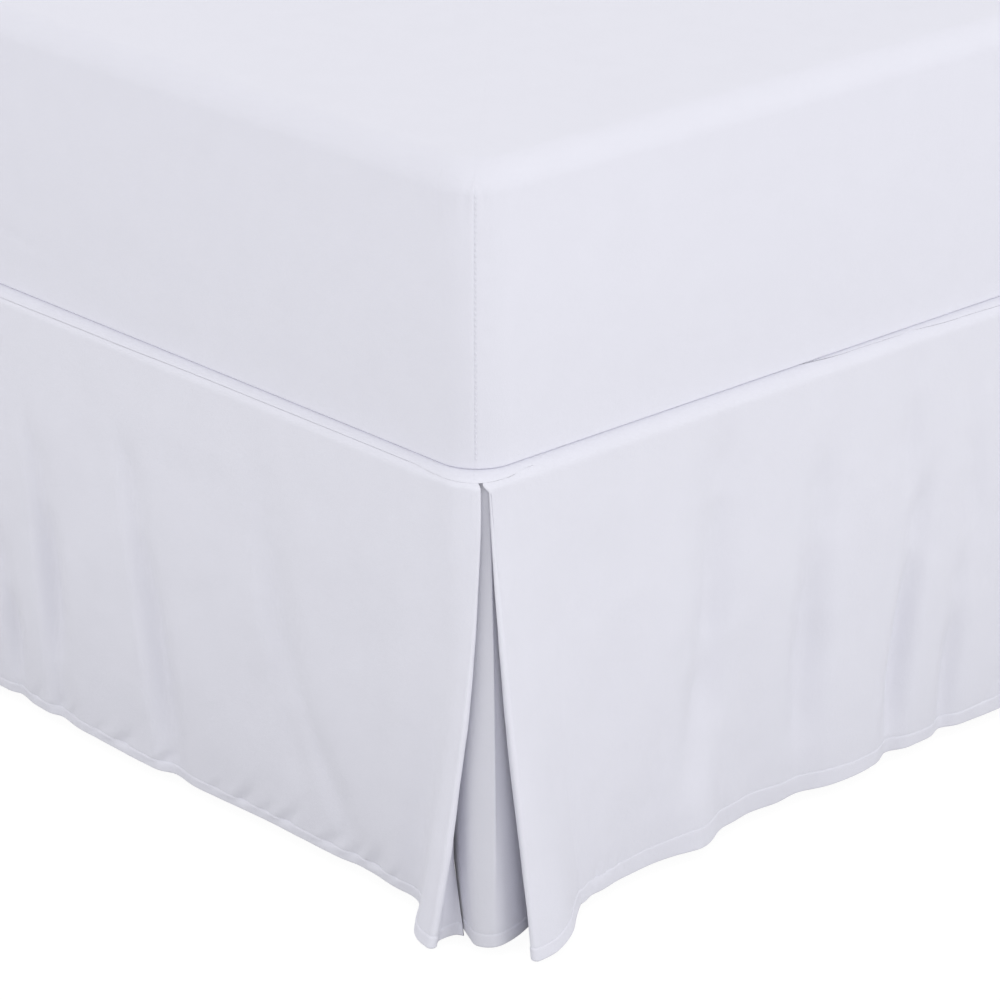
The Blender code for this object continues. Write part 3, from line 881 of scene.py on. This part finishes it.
def edge_shares(length, seen_start, seen_end, fine, near, coarse):
    """Shares of an edge's length at which a ring has points, closest beside its corners."""
    places = [0.0]
    while places[-1] < length - fine:
        place = places[-1]
        rest = length - place
        seen = (seen_start and place < NEAR_CORNER) or (seen_end and rest < NEAR_CORNER)
        step = near if seen else coarse
        places.append(place + min(step, max(fine, STEP_GROWTH * min(place, rest))))
    return np.array(places[1:]) / length


def stations_round(fine, near, coarse):
    """Stations once round the bed, starting at the head's right corner."""
    quarter, share, angle, side = [], [], [], []
    turn = 45.0 + np.array([-a for a in CORNER_TURNS[:0:-1]] + list(CORNER_TURNS))
    lengths = (BED_WIDTH, BED_LENGTH, BED_WIDTH, BED_LENGTH)
    for corner, length in enumerate(lengths):
        shares = edge_shares(length - 2 * PANEL_RADIUS, corner == SEEN_QUARTER,
                             corner == SEEN_QUARTER - 1, fine, near, coarse)
        quarter += [corner] * (len(turn) + len(shares))
        share += [0.0] * len(turn) + list(shares)
        angle += list(90.0 * corner + turn) + [90.0 * (corner + 1)] * len(shares)
        side += [(corner - 1) % 4 if a < 45 else corner for a in turn] + [corner] * len(shares)
    return Stations(np.array(quarter), np.array(share), np.radians(angle), np.array(side))


def ring_centres(stations, out, radius):
    """The centres that each station's point on a ring turns about."""
    count = np.arange(len(stations.quarter))
    half = np.array([BED_WIDTH / 2, BED_LENGTH / 2])
    middles = np.array(QUARTERS)[:, None, :] * (half + (out - radius)[:, None])
    here = middles[stations.quarter, count]
    after = middles[(stations.quarter + 1) % 4, count]
    return between(here, after, stations.share[:, None])


def make_rings(stations, profile):
    """Rings from rows of (out, radius, height), each a number or one for each station."""
    count = len(stations.quarter)
    facing = np.stack((np.cos(stations.angle), np.sin(stations.angle)), axis=-1)
    side_angle = np.radians(90.0 * (stations.side + 1))
    onward = np.stack((-np.sin(side_angle), np.cos(side_angle)), axis=-1)
    turned = (stations.angle - side_angle + np.pi) % (2 * np.pi) - np.pi
    points, run, climb = [], [], []
    for row in profile:
        out, radius, height = (np.broadcast_to(value, count) for value in row)
        centre = ring_centres(stations, out, radius)
        plan = centre + facing * radius[:, None]
        points.append(np.column_stack((plan[:, 0], plan[:, 1] + ORIGIN_SHIFT, height)))
        run.append((centre * onward).sum(axis=1) + turned * radius)
        step = np.hypot(out - last[0], height - last[1]) if climb else np.zeros(count)
        climb.append(climb[-1] + step if climb else step)
        last = (out, height)
    return Rings(np.array(points), np.array(run), np.array(climb))


def loop_normals(points):
    """Unit normals, pointing away from the bed, of a grid whose columns go all the way round."""
    wrapped = np.concatenate((points[:, -1:], points, points[:, :1]), axis=1)
    return normals_of(wrapped)[:, 1:-1]


def loop_faces(first, rows, columns, turned=False):
    """Faces of a grid of rings that rise from row to row, facing away from the bed."""
    index = first + np.arange(rows * columns).reshape(rows, columns)
    after = np.roll(index, -1, axis=1)
    faces = np.stack((index[:-1], after[:-1], after[1:], index[1:]), axis=-1).reshape(-1, 4)
    return (faces[:, ::-1] if turned else faces).tolist()


def ring_face(first, columns, turned=False):
    """One face over a whole ring, facing up unless it is turned."""
    face = list(range(first, first + columns))
    return face[::-1] if turned else face


def ring_attributes(rings, copies=1):
    """The cloth's own coordinates for its weave."""
    weave = np.stack((rings.run, rings.climb, np.zeros_like(rings.run)), axis=-1).reshape(-1, 3)
    return (
        ("weave", "FLOAT_VECTOR", "vector", np.tile(weave, (copies, 1))),
        ("layers", "FLOAT", "value", np.zeros(copies * len(weave))),
    )


def closed_faces(rows, columns):
    """Faces of a solid of rings that rise from its underside to its top."""
    faces = loop_faces(0, rows, columns)
    faces.append(ring_face(0, columns, turned=True))
    faces.append(ring_face((rows - 1) * columns, columns))
    return faces


def closed_form(name, rings, material):
    faces = closed_faces(*rings.run.shape)
    return new_mesh(name, rings.points.reshape(-1, 3), faces, material, ring_attributes(rings))


# ---------------------------------------------------------------- the deck

DECK_FLAT_OUTS = (-0.20, -0.10, -0.050, -0.028, -0.012)
DECK_TUCK = 0.14
DECK_SEED = 5.0
DECK_TURNS = (1.0, 0.992, 0.965, *np.linspace(0.93, 0.0, 14))


def seam_round(stations, run, tables, gap):
    """A table's value for each station, from the foot's, the right's or the left's table.

    A gap of 1 takes half of the seam's gap off it, and a gap of 0 none."""
    foot, right, left = tables
    half_width, half_length = BED_WIDTH / 2, BED_LENGTH / 2
    values = np.full(len(run), float(foot[0][1]))
    for side, table, along in (
        (FOOT, foot, half_width - run),
        (RIGHT, right, half_length + run),
        (LEFT, left, half_length - run),
    ):
        sized = eased(table, along) - gap * seam_gap(table, along)
        values = np.where(stations.side == side, sized, values)
    return values


def deck_profile(seam, lowered):
    """Rings of the deck's middle surface, from the seam up its roll and in over the flat."""
    steepest = np.arccos(np.clip(1 - (seam - DECK_MIDDLE) / DECK_EDGE_RADIUS, -1, 1))
    level = DECK_HEIGHT - DECK_MIDDLE
    profile = []
    for share in DECK_TURNS:
        drop = DECK_EDGE_RADIUS * (1 - np.cos(steepest * share)) * lowered
        tuck = SEAM_TUCK * (1 - smooth((1 - share) / DECK_TUCK)) * lowered
        out = DECK_EDGE_CENTRE + DECK_EDGE_RADIUS * np.sin(steepest * share) - tuck
        profile.append((out, PANEL_RADIUS, level - drop))
    return profile + [(out, PANEL_RADIUS, level) for out in DECK_FLAT_OUTS[::-1]]


def make_deck_cloth():
    """The platform sheet: its edge rolls over the box spring down to the seam, but at the head."""
    stations = stations_round(*DECK_SPACING)
    edge = make_rings(stations, [(SEAM_OUT, PANEL_RADIUS, 0.0)])
    seam = seam_round(stations, edge.run[0], (FOOT_SEAM, RIGHT_SEAM, LEFT_SEAM), 1)
    seam = np.where(stations.side == HEAD, SEAM_DEPTH, seam)
    lowered = np.clip((HEAD_LINE - edge.points[0, :, 1]) / PANEL_RADIUS, 0.0, 1.0)
    rings = make_rings(stations, deck_profile(seam, lowered))

    normal = loop_normals(rings.points)
    ripple_tables = (FOOT_SEAM_RIPPLE, RIGHT_SEAM_RIPPLE, RIGHT_SEAM_RIPPLE)
    size = seam_round(stations, edge.run[0], ripple_tables, 0) * lowered
    ripple = sewn_ripple(rings.run, rings.climb, size, DECK_SEED) * smooth(rings.climb / SEAM_LIP)
    points = rings.points + normal * ripple[..., None]
    rows, columns = rings.run.shape
    thickness = np.full((rows, columns), CLOTH)
    half = loop_normals(points) * (thickness / 2)[..., None]
    count = rows * columns
    vertices = np.concatenate(((points + half).reshape(-1, 3), (points - half).reshape(-1, 3)))
    seam_edge = np.append(np.arange(columns), 0)
    faces = loop_faces(0, rows, columns) + loop_faces(count, rows, columns, turned=True)
    faces += strip_of(seam_edge, seam_edge + count).tolist()
    faces.append(ring_face(count - columns, columns))
    faces.append(ring_face(2 * count - columns, columns, turned=True))
    cloth = new_mesh("deck_cloth", vertices, faces, skirt_material, ring_attributes(rings, 2))
    cloth.data.set_sharp_from_angle(angle=math.radians(SEAM_SHARP))
    enter(cloth, "deck")


# ---------------------------------------------------------------- the bed

# Heights are above the deck, and "along" is measured from the corner that the camera looks at.
MATTRESS_ROW = 0.005
BOTTOM_ANGLES = range(0, 90, 15)
TOP_ANGLES = range(0, 91, 5)
SEAM_TOP = 0.232
SEAM_START = 0.004
SEAM_END = 0.006
UNDERSIDE_IN = 0.006
STITCH_TURN = 1.6
CREASE_FULL = 0.35
CREASE_FADE = 0.2
COVER_EASE = 0.03
PAST_CORNER = 0.02
COVER_WAVES = ((0.0007, 0.11, 2.0), (0.00018, 0.030, 9.0))  # size, wave and seed
SEAM_GROOVE = 0.00025
SEAM_GROOVE_WIDTH = 0.0008
SEAM_LIP_RISE = 0.0004
SEAM_LIP_WIDTH = 0.0030  # and how far beside the seam it rises
CROWN_OUTS = (-0.050, -0.062, -0.080, -0.105, -0.14, -0.18, -0.23, -0.30, -0.40, -0.55, -0.70)

# One row for each crease in the cover: the side it is on, its ends, its width and its hollow.
Crease = namedtuple("Crease", "side along_one height_one along_two height_two width hollow")

COVER_CREASES = table(
    Crease,
    (FOOT, 606, 55, 560, 47, 3, 1.2), (FOOT, 283, 260, 313, 173, 10, 0.7),
    (FOOT, 78, 244, 70, 215, 3.5, 0.6), (FOOT, 55, 232, 51, 204, 3, 0.6),
    (FOOT, 38, 240, 34, 196, 2.8, 0.8), (FOOT, 24, 226, 20, 190, 2.6, 0.7),
    (FOOT, 10, 238, 11, 206, 2.4, 0.7), (RIGHT, 8, 236, 14, 214, 2.6, 0.7),
    (RIGHT, 22, 232, 27, 214, 3, 0.5), (RIGHT, 4, 189, 17, 194, 1.8, 0.8),
    (RIGHT, 4, 171, 18, 176, 1.8, 0.9), (RIGHT, 5, 150, 17, 154, 1.8, 0.8),
    (RIGHT, 5, 131, 13, 134, 1.7, 0.5), (RIGHT, 4, 111, 18, 115, 1.8, 0.8),
    (RIGHT, 5, 93, 18, 96, 1.8, 0.6), (RIGHT, 5, 75, 14, 77, 1.7, 0.5),
)


def crease_hollow(stations, along, height):
    """How far the cover's creases draw it in."""
    total = np.zeros(height.shape)
    for row in COVER_CREASES:
        way_along = row.along_two - row.along_one
        way_up = row.height_two - row.height_one
        length = math.hypot(way_along, way_up)
        share = ((along - row.along_one) * way_along + (height - row.height_one) * way_up)
        share = share / length**2
        off = ((along - row.along_one) * way_up - (height - row.height_one) * way_along) / length
        end = np.maximum(np.abs(share - 0.5) - CREASE_FULL, 0) * length
        dent = bell(off / row.width) * bell(end / (CREASE_FADE * length))
        total += np.where(stations.side == row.side, row.hollow * dent, 0.0)
    return total


def cover_along(stations, run):
    """How far each point of the cover is from the nearest corner of the foot."""
    half_width, half_length = BED_WIDTH / 2, BED_LENGTH / 2
    along = np.where(stations.side == FOOT, half_width - run, half_length + run)
    along = np.where(stations.side == LEFT, half_length - run, along)
    return np.where(stations.side == HEAD, half_width + run, along)


def lower_edge(out, radius, level, size, angles):
    """Profile rows that round a form's lower edge."""
    rows = []
    for angle in np.radians(angles):
        inward = size * (1 - math.sin(angle))
        rows.append((out - inward, radius - inward, level + size * (1 - math.cos(angle))))
    return rows


def upper_edge(out, radius, top_radius, level, size, angles):
    """Profile rows that round a form's upper edge, from one corner radius to another."""
    rows = []
    for angle in np.radians(angles):
        inward = size * (1 - math.cos(angle))
        corner = between(radius, top_radius, inward / size)
        rows.append((out - inward, corner, level + size * math.sin(angle)))
    return rows


def mattress_profile():
    middle = MATTRESS_OUT
    profile = [(middle - UNDERSIDE_IN, MATTRESS_RADIUS - UNDERSIDE_IN, 0.0)]
    profile += lower_edge(middle, MATTRESS_RADIUS, -BOTTOM_SAG, BOTTOM_EDGE, BOTTOM_ANGLES)
    side_top = MATTRESS_HEIGHT - CROWN - TOP_EDGE
    steps = round((side_top - BOTTOM_EDGE) / MATTRESS_ROW)
    for step in range(steps):
        share = step / steps
        bulge = MATTRESS_BULGE * math.sin(math.pi * share)
        profile.append((middle + bulge, MATTRESS_RADIUS, between(BOTTOM_EDGE, side_top, share)))
    profile += upper_edge(middle, MATTRESS_RADIUS, MATTRESS_TOP_RADIUS, side_top, TOP_EDGE,
                          TOP_ANGLES)
    for out in CROWN_OUTS:
        rise = CROWN * math.sin(math.pi / 2 * min(-out / CROWN_INSET, 1.0))
        profile.append((out, MATTRESS_TOP_RADIUS, MATTRESS_HEIGHT - CROWN + rise))
    return [(out, radius, DECK_HEIGHT + height) for out, radius, height in profile]


def corner_distance(stations, rings):
    """How far each point of the cover is from its corner's seam, over the surface."""
    past = (np.degrees(stations.angle) - 45.0) % 90.0
    past = np.where(past > 45.0, past - 90.0, past)
    beyond = np.abs(rings.run) - np.where(
        (stations.side == FOOT) | (stations.side == HEAD), BED_WIDTH / 2, BED_LENGTH / 2
    )
    distance = np.where(stations.share > 0, -beyond + PAST_CORNER, 0.0)
    turned = np.radians(past) * MATTRESS_RADIUS
    return np.where(stations.share > 0, distance, turned)


def make_mattress():
    """The plain mattress in its fitted cover, sewn down each corner."""
    stations = stations_round(*COVER_SPACING)
    rings = make_rings(stations, mattress_profile())
    on_roll = smooth((HEAD_LINE - rings.points[..., 1]) / PANEL_RADIUS - 1)
    lowest = DECK_HEIGHT - BOTTOM_SAG * on_roll
    rings.points[..., 2] = np.maximum(rings.points[..., 2], lowest)
    height = rings.points[..., 2] - DECK_HEIGHT
    along = cover_along(stations, rings.run)
    beside = corner_distance(stations, rings)
    sewn = (1 - smooth((height - SEAM_TOP + SEAM_END) / (2 * SEAM_END))) * smooth(height / SEAM_START)
    relief = -crease_hollow(stations, along, height)
    relief -= SEAM_GROOVE * sewn * bell(beside / SEAM_GROOVE_WIDTH)
    relief += SEAM_LIP_RISE * sewn * bell((np.abs(beside) - SEAM_LIP_WIDTH) / SEAM_LIP_WIDTH)
    loose = smooth((height - SEAM_START) / COVER_EASE)
    for size, wave, seed in COVER_WAVES:
        relief += size * uneven(rings.points, wave, seed) * loose
    normal = loop_normals(rings.points)
    rings = rings._replace(points=rings.points + normal * relief[..., None])
    cover = closed_form("mattress_cover", rings, cover_material)

    normal = loop_normals(rings.points)
    seam_rows = (height[:, 0] > SEAM_END) & (height[:, 0] < SEAM_TOP)
    runs = []
    for corner in range(4):
        column = int(np.argmin(np.abs(stations.angle - np.radians(90 * corner + 45 + STITCH_TURN))))
        runs.append((rings.points[seam_rows, column], normal[seam_rows, column]))
    thread = stitches("mattress_stitches", runs, COVER_STITCH_PITCH, COVER_STITCH_LENGTH,
                      COVER_STITCH_RADIUS, cover_thread_material)
    enter(cover, "mattress")
    enter(thread)


BASE_OUT = 0.007
BASE_EDGE = 0.013
BASE_CHAMFER = 0.004
BASE_RADIUS = 0.040
BASE_ROWS = 24
CHAMFER_ANGLES = range(0, 91, 15)
EDGE_ANGLES = range(0, 91, 10)
BASE_TOP_OUTS = (-0.02, -0.05, -0.12, -0.30)
BASE_EASE = 0.03
BASE_SLACK = 0.0006
BASE_WAVE = 0.09
BASE_SEED = 4.0


def make_base_cover():
    """The box spring's plain cover, on the CAD solid's form with rounder edges."""
    base_low, base_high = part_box("bed_base")
    top_radius = BASE_RADIUS - BASE_EDGE
    side_top = base_high.z - BASE_EDGE
    profile = lower_edge(BASE_OUT, BASE_RADIUS, base_low.z, BASE_CHAMFER, CHAMFER_ANGLES)
    for share in np.linspace(0.0, 1.0, BASE_ROWS)[1:-1]:
        profile.append((BASE_OUT, BASE_RADIUS, between(base_low.z + BASE_CHAMFER, side_top, share)))
    profile += upper_edge(BASE_OUT, BASE_RADIUS, top_radius, side_top, BASE_EDGE, EDGE_ANGLES)
    profile += [(out, top_radius, base_high.z) for out in BASE_TOP_OUTS]
    rings = make_rings(stations_round(*BASE_SPACING), profile)
    height = rings.points[..., 2]
    slack = smooth((side_top - height) / BASE_EASE) * smooth((height - base_low.z) / BASE_EASE)
    relief = -BASE_SLACK * (1 + uneven(rings.points, BASE_WAVE, BASE_SEED)) * slack
    points = rings.points + loop_normals(rings.points) * relief[..., None]
    cover = closed_form("base_cover", rings._replace(points=points), base_material)
    enter(cover, "bed_base")


LEGS = 6
LEG_SIDES = 48
LEG_CHAMFER = 0.0015
LEG_TAPER = 10 / 13
LEG_SHARP = 35


def make_legs():
    """Turned legs on the CAD ones' sizes, eased at the floor."""
    for number in range(1, LEGS + 1):
        node = f"leg_{number}"
        low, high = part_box(node)
        middle = (low + high) / 2
        top_radius = (high.x - low.x) / 2
        foot_radius = top_radius * LEG_TAPER
        outline = ((foot_radius - LEG_CHAMFER, low.z), (foot_radius, low.z + LEG_CHAMFER),
                   (top_radius, high.z))
        turns = np.linspace(0, 2 * np.pi, LEG_SIDES, endpoint=False)
        vertices = [(middle.x + radius * math.cos(turn), middle.y + radius * math.sin(turn), z)
                    for radius, z in outline for turn in turns]
        faces = closed_faces(len(outline), LEG_SIDES)
        leg = new_mesh(f"turned_{node}", np.array(vertices), faces, wood_material)
        leg.data.set_sharp_from_angle(angle=math.radians(LEG_SHARP))
        enter(leg, node)


# ---------------------------------------------------------------- materials

SKIRT_WHITE = (0.700, 0.700, 0.772)
COVER_WHITE = (0.788, 0.788, 0.870)
THREAD_WHITE = (0.690, 0.690, 0.762)
COVER_THREAD_WHITE = (0.800, 0.800, 0.882)
BASE_WHITE = (0.66, 0.66, 0.68)
WOOD_DARK = (0.16, 0.085, 0.040)
WOOD_LIGHT = (0.27, 0.160, 0.085)
FLOOR_WHITE = (0.97, 0.97, 0.97)
FLOOR_SHADE = 0.08
FLOOR_ROUGHNESS = 0.9
CLOTH_ROUGHNESS = 0.85
CLOTH_SHEEN = 0.18
THREAD_ROUGHNESS = 0.7
THREAD_SHEEN = 0.1
THREAD_TWIST = 0.0004
WOOD_ROUGHNESS = 0.42
WOOD_DEPTH = 0.0002
SOFT_SPECULAR = 0.25
NAP_SHARE = 1.2
PATCH_SHARE = 0.6
THREAD_SHARE = 0.2
THREAD_DARK = 0.96
WOOD_GRAIN = (0.004, 0.004, 0.09)
WEAVE_PITCH = 0.00035
THREAD_RUN = 0.0040
NAP = 0.005
MOTTLE = 0.035


def new_material(name, roughness, sheen=0.0):
    material = bpy.data.materials.new(name)
    material.use_nodes = True
    shader = material.node_tree.nodes["Principled BSDF"]
    shader.inputs["Roughness"].default_value = roughness
    shader.inputs["Specular IOR Level"].default_value = SOFT_SPECULAR
    if sheen:
        shader.inputs["Sheen Weight"].default_value = sheen
        shader.inputs["Sheen Roughness"].default_value = 0.5
    return material, material.node_tree, shader


def noise_over(tree, vector, sizes, detail=2.0):
    """A noise whose bumps have those sizes along the three directions, in metres."""
    scaled = tree.nodes.new("ShaderNodeVectorMath")
    scaled.operation = "DIVIDE"
    scaled.inputs[1].default_value = sizes
    tree.links.new(vector, scaled.inputs[0])
    texture = tree.nodes.new("ShaderNodeTexNoise")
    texture.inputs["Scale"].default_value = 1.0
    texture.inputs["Detail"].default_value = detail
    tree.links.new(scaled.outputs[0], texture.inputs["Vector"])
    return texture.outputs["Fac"]


def combined(tree, operation, one, two):
    """A sum, product or other mix of two values, where either may be a plain number."""
    node = tree.nodes.new("ShaderNodeMath")
    node.operation = operation
    for value, socket in zip((one, two), node.inputs):
        if isinstance(value, (int, float)):
            socket.default_value = value
        else:
            tree.links.new(value, socket)
    return node.outputs[0]


def ramped(tree, value, dark, light):
    """A colour between two, by a value from 0 to 1."""
    ramp = tree.nodes.new("ShaderNodeValToRGB")
    ramp.color_ramp.elements[0].color = (*dark, 1.0)
    ramp.color_ramp.elements[1].color = (*light, 1.0)
    tree.links.new(value, ramp.inputs[0])
    return ramp.outputs[0]


def bumped(tree, shader, height, distance, strength=1.0):
    bump = tree.nodes.new("ShaderNodeBump")
    bump.inputs["Distance"].default_value = distance
    bump.inputs["Strength"].default_value = strength
    tree.links.new(height, bump.inputs["Height"])
    tree.links.new(bump.outputs["Normal"], shader.inputs["Normal"])


def cloth_material(name, colour, mottle, weave_depth, hem_painted_light=0.0):
    """A close plain weave: two sets of threads, a soft nap, a very slight mottle and, where asked, a
    little painted light that makes the doubled hem lighter.
    """
    material, tree, shader = new_material(name, CLOTH_ROUGHNESS, sheen=CLOTH_SHEEN)
    place = tree.nodes.new("ShaderNodeAttribute")
    place.attribute_name = "weave"
    vector = place.outputs["Vector"]
    warp = noise_over(tree, vector, (WEAVE_PITCH, THREAD_RUN, 1.0))
    weft = noise_over(tree, vector, (THREAD_RUN, WEAVE_PITCH, 1.0))
    nap = noise_over(tree, vector, (NAP, NAP, 1.0), detail=4.0)
    threads = combined(tree, "ADD", warp, weft)
    height = combined(tree, "ADD", threads, combined(tree, "MULTIPLY", nap, NAP_SHARE))
    bumped(tree, shader, height, weave_depth)

    patches = noise_over(tree, vector, (MOTTLE, MOTTLE, 1.0), detail=3.0)
    tone = combined(tree, "ADD", combined(tree, "MULTIPLY", patches, PATCH_SHARE),
                    combined(tree, "MULTIPLY", threads, THREAD_SHARE))
    # Painted light: the doubled hem is made a little lighter. This is partly the doubled cloth's own
    # fuller white, and partly stands in for the light that a single layer lets through.
    if hem_painted_light:
        layers = tree.nodes.new("ShaderNodeAttribute")
        layers.attribute_name = "layers"
        painted_hem_light = combined(tree, "MULTIPLY", layers.outputs["Fac"], hem_painted_light)
        tone = combined(tree, "ADD", tone, painted_hem_light)
    dark = tuple(channel * (1 - mottle) for channel in colour)
    light = tuple(channel * (1 + mottle) for channel in colour)
    tree.links.new(ramped(tree, tone, dark, light), shader.inputs["Base Color"])
    return material


def thread_look(name, colour):
    material, tree, shader = new_material(name, THREAD_ROUGHNESS, sheen=THREAD_SHEEN)
    place = tree.nodes.new("ShaderNodeTexCoord")
    twist = noise_over(tree, place.outputs["Object"], (THREAD_TWIST,) * 3)
    tree.links.new(
        ramped(tree, twist, tuple(c * THREAD_DARK for c in colour), colour),
        shader.inputs["Base Color"],
    )
    return material


def wood_look():
    """Straight grain that runs up a leg."""
    material, tree, shader = new_material("leg_wood", WOOD_ROUGHNESS)
    shader.inputs["Specular IOR Level"].default_value = 0.5
    place = tree.nodes.new("ShaderNodeTexCoord")
    grain = noise_over(tree, place.outputs["Object"], WOOD_GRAIN, detail=5.0)
    tree.links.new(ramped(tree, grain, WOOD_DARK, WOOD_LIGHT), shader.inputs["Base Color"])
    bumped(tree, shader, grain, WOOD_DEPTH)
    return material


def floor_look(name, colour, glow):
    material, _, shader = new_material(name, FLOOR_ROUGHNESS)
    shader.inputs["Base Color"].default_value = (*colour, 1.0)
    shader.inputs["Emission Color"].default_value = (*FLOOR_WHITE, 1.0)
    shader.inputs["Emission Strength"].default_value = glow
    return material


# ---------------------------------------------------------------- the view

CAMERA_AZIMUTH = 47.29
CAMERA_ELEVATION = 22.26
CAMERA_DISTANCE = 3.53
CAMERA_LENS = 162
SENSOR = 36
CORNER_ON_SENSOR = (-0.0256, 0.0264)  # where the deck's foot corner is seen, from the middle
SKY = 0.92

LIT_PIECES = ("skirt", "deck", "floor")

# One row for each broad, far lamp: where its light comes from, its strength and spread, and
# whether it is flagged off, so that it reaches the skirt and the floor alone.
Lamp = namedtuple("Lamp", "name toward strength spread flagged")
LAMPS = (
    Lamp("lamp_right", (0.966, 0.26, 0.29), 0.51, 35, False),
    Lamp("lamp_left", (-0.26, -0.966, 0.27), 0.20, 35, False),
    Lamp("skirt_lamp_right", (0.97, -0.05, 0.40), 0.37, 30, True),
    Lamp("skirt_lamp_left", (-0.08, -0.97, 0.40), 0.36, 30, True),
)
FLOOR_SIZE = 60
BOUNCE = 0.75
CARD = 0.37
CARD_BEYOND = 0.30
FLOOR_GLOW = 0.98


def make_camera():
    azimuth, elevation = math.radians(CAMERA_AZIMUTH), math.radians(CAMERA_ELEVATION)
    back = Vector((math.sin(azimuth) * math.cos(elevation),
                   -math.cos(azimuth) * math.cos(elevation), math.sin(elevation)))
    right = Vector((math.cos(azimuth), math.sin(azimuth), 0))
    up = back.cross(right)
    corner = Vector((BED_WIDTH / 2, FOOT_LINE, DECK_HEIGHT))
    reach = CAMERA_DISTANCE * SENSOR / CAMERA_LENS
    eye = corner + back * CAMERA_DISTANCE
    eye -= (right * CORNER_ON_SENSOR[0] + up * CORNER_ON_SENSOR[1]) * reach
    camera = bpy.data.objects.new("camera", bpy.data.cameras.new("camera"))
    camera.data.lens = CAMERA_LENS
    camera.data.sensor_width = SENSOR
    place = Matrix((right, up, back)).transposed().to_4x4()
    place.translation = eye
    camera.matrix_world = place
    bpy.context.scene.collection.objects.link(camera)
    bpy.context.scene.camera = camera


def make_light(skirt):
    """An even, pale studio, and broad lamps from each side. Flags keep some of them off the bed."""
    world = bpy.data.worlds.new("studio")
    world.use_nodes = True
    sky = world.node_tree.nodes["Background"]
    sky.inputs["Color"].default_value = (1.0, 1.0, 1.0, 1.0)
    sky.inputs["Strength"].default_value = SKY
    bpy.context.scene.world = world
    lit = bpy.data.collections.new("lit_past_the_flags")
    for piece in skirt:
        lit.objects.link(piece)
    for row in LAMPS:
        light = bpy.data.lights.new(row.name, "SUN")
        light.energy = row.strength
        light.angle = math.radians(row.spread)
        lamp = bpy.data.objects.new(row.name, light)
        lamp.rotation_euler = Vector(row.toward).to_track_quat("Z", "Y").to_euler()
        bpy.context.scene.collection.objects.link(lamp)
        if row.flagged:
            lamp.light_linking.receiver_collection = lit


def level_plane(name, half_width, half_length, height, colour, glow=0.0):
    corners = [(-half_width, -half_length, height), (half_width, -half_length, height),
               (half_width, half_length, height), (-half_width, half_length, height)]
    return new_mesh(name, np.array(corners), [(0, 1, 2, 3)], floor_look(name, colour, glow))


def make_floor():
    """A white floor. Under it, unseen, are the floor that light comes back up from and a grey
    card round the bed, which keeps some of that light off the lower half of the skirt."""
    half = FLOOR_SIZE / 2
    shade = (FLOOR_SHADE, FLOOR_SHADE, FLOOR_SHADE)
    floor = level_plane("floor", half, half, 0.0, shade, FLOOR_GLOW)
    floor.visible_diffuse = False
    floor.visible_shadow = False
    bounce = level_plane("floor_bounce", half, half, -2 * MM, (BOUNCE, BOUNCE, BOUNCE))
    card = level_plane("floor_card", cad_box[1].x + CARD_BEYOND, cad_box[1].y + CARD_BEYOND, -MM,
                       (CARD, CARD, CARD))
    bounce.visible_camera = False
    card.visible_camera = False


# ---------------------------------------------------------------- the scene

# The skirt's doubled hem gets a little painted light.
skirt_material = cloth_material("skirt_cloth", SKIRT_WHITE, 0.03, 0.00012, hem_painted_light=0.15)
cover_material = cloth_material("mattress_cover", COVER_WHITE, 0.022, 0.00010)
base_material = cloth_material("base_fabric", BASE_WHITE, 0.03, 0.00015)
thread_material = thread_look("hem_thread", THREAD_WHITE)
cover_thread_material = thread_look("cover_thread", COVER_THREAD_WHITE)
wood_material = wood_look()

bpy.context.scene.view_settings.view_transform = "Standard"
make_camera()
make_floor()
make_legs()
make_base_cover()
make_deck_cloth()
make_mattress()
make_foot_cloth()
make_side_cloth("skirt_right_cloth", "skirt_right", 1, RIGHT_HEM, RIGHT_TROUGHS,
                RIGHT_SEAM, RIGHT_HEM_WIDTH, 1.0,
                Sewing(RIGHT_PUCKERS, 0.00010, RIGHT_SEAM_RIPPLE, 0.0015, 0.00040, 13.0))
make_side_cloth("skirt_left_cloth", "skirt_left", -1, LEFT_HEM, LEFT_TROUGHS,
                LEFT_SEAM, LEFT_HEM_WIDTH, LEFT_OPENING,
                Sewing((), 0.00020, RIGHT_SEAM_RIPPLE, 0.0015, 0.00040, 29.0))
make_insert_cloth("pleat_right_cloth", "pleat_right", 1, 1.0)
make_insert_cloth("pleat_left_cloth", "pleat_left", -1, LEFT_OPENING)

make_light([piece for piece in bpy.data.objects if piece.name.startswith(LIT_PIECES)])
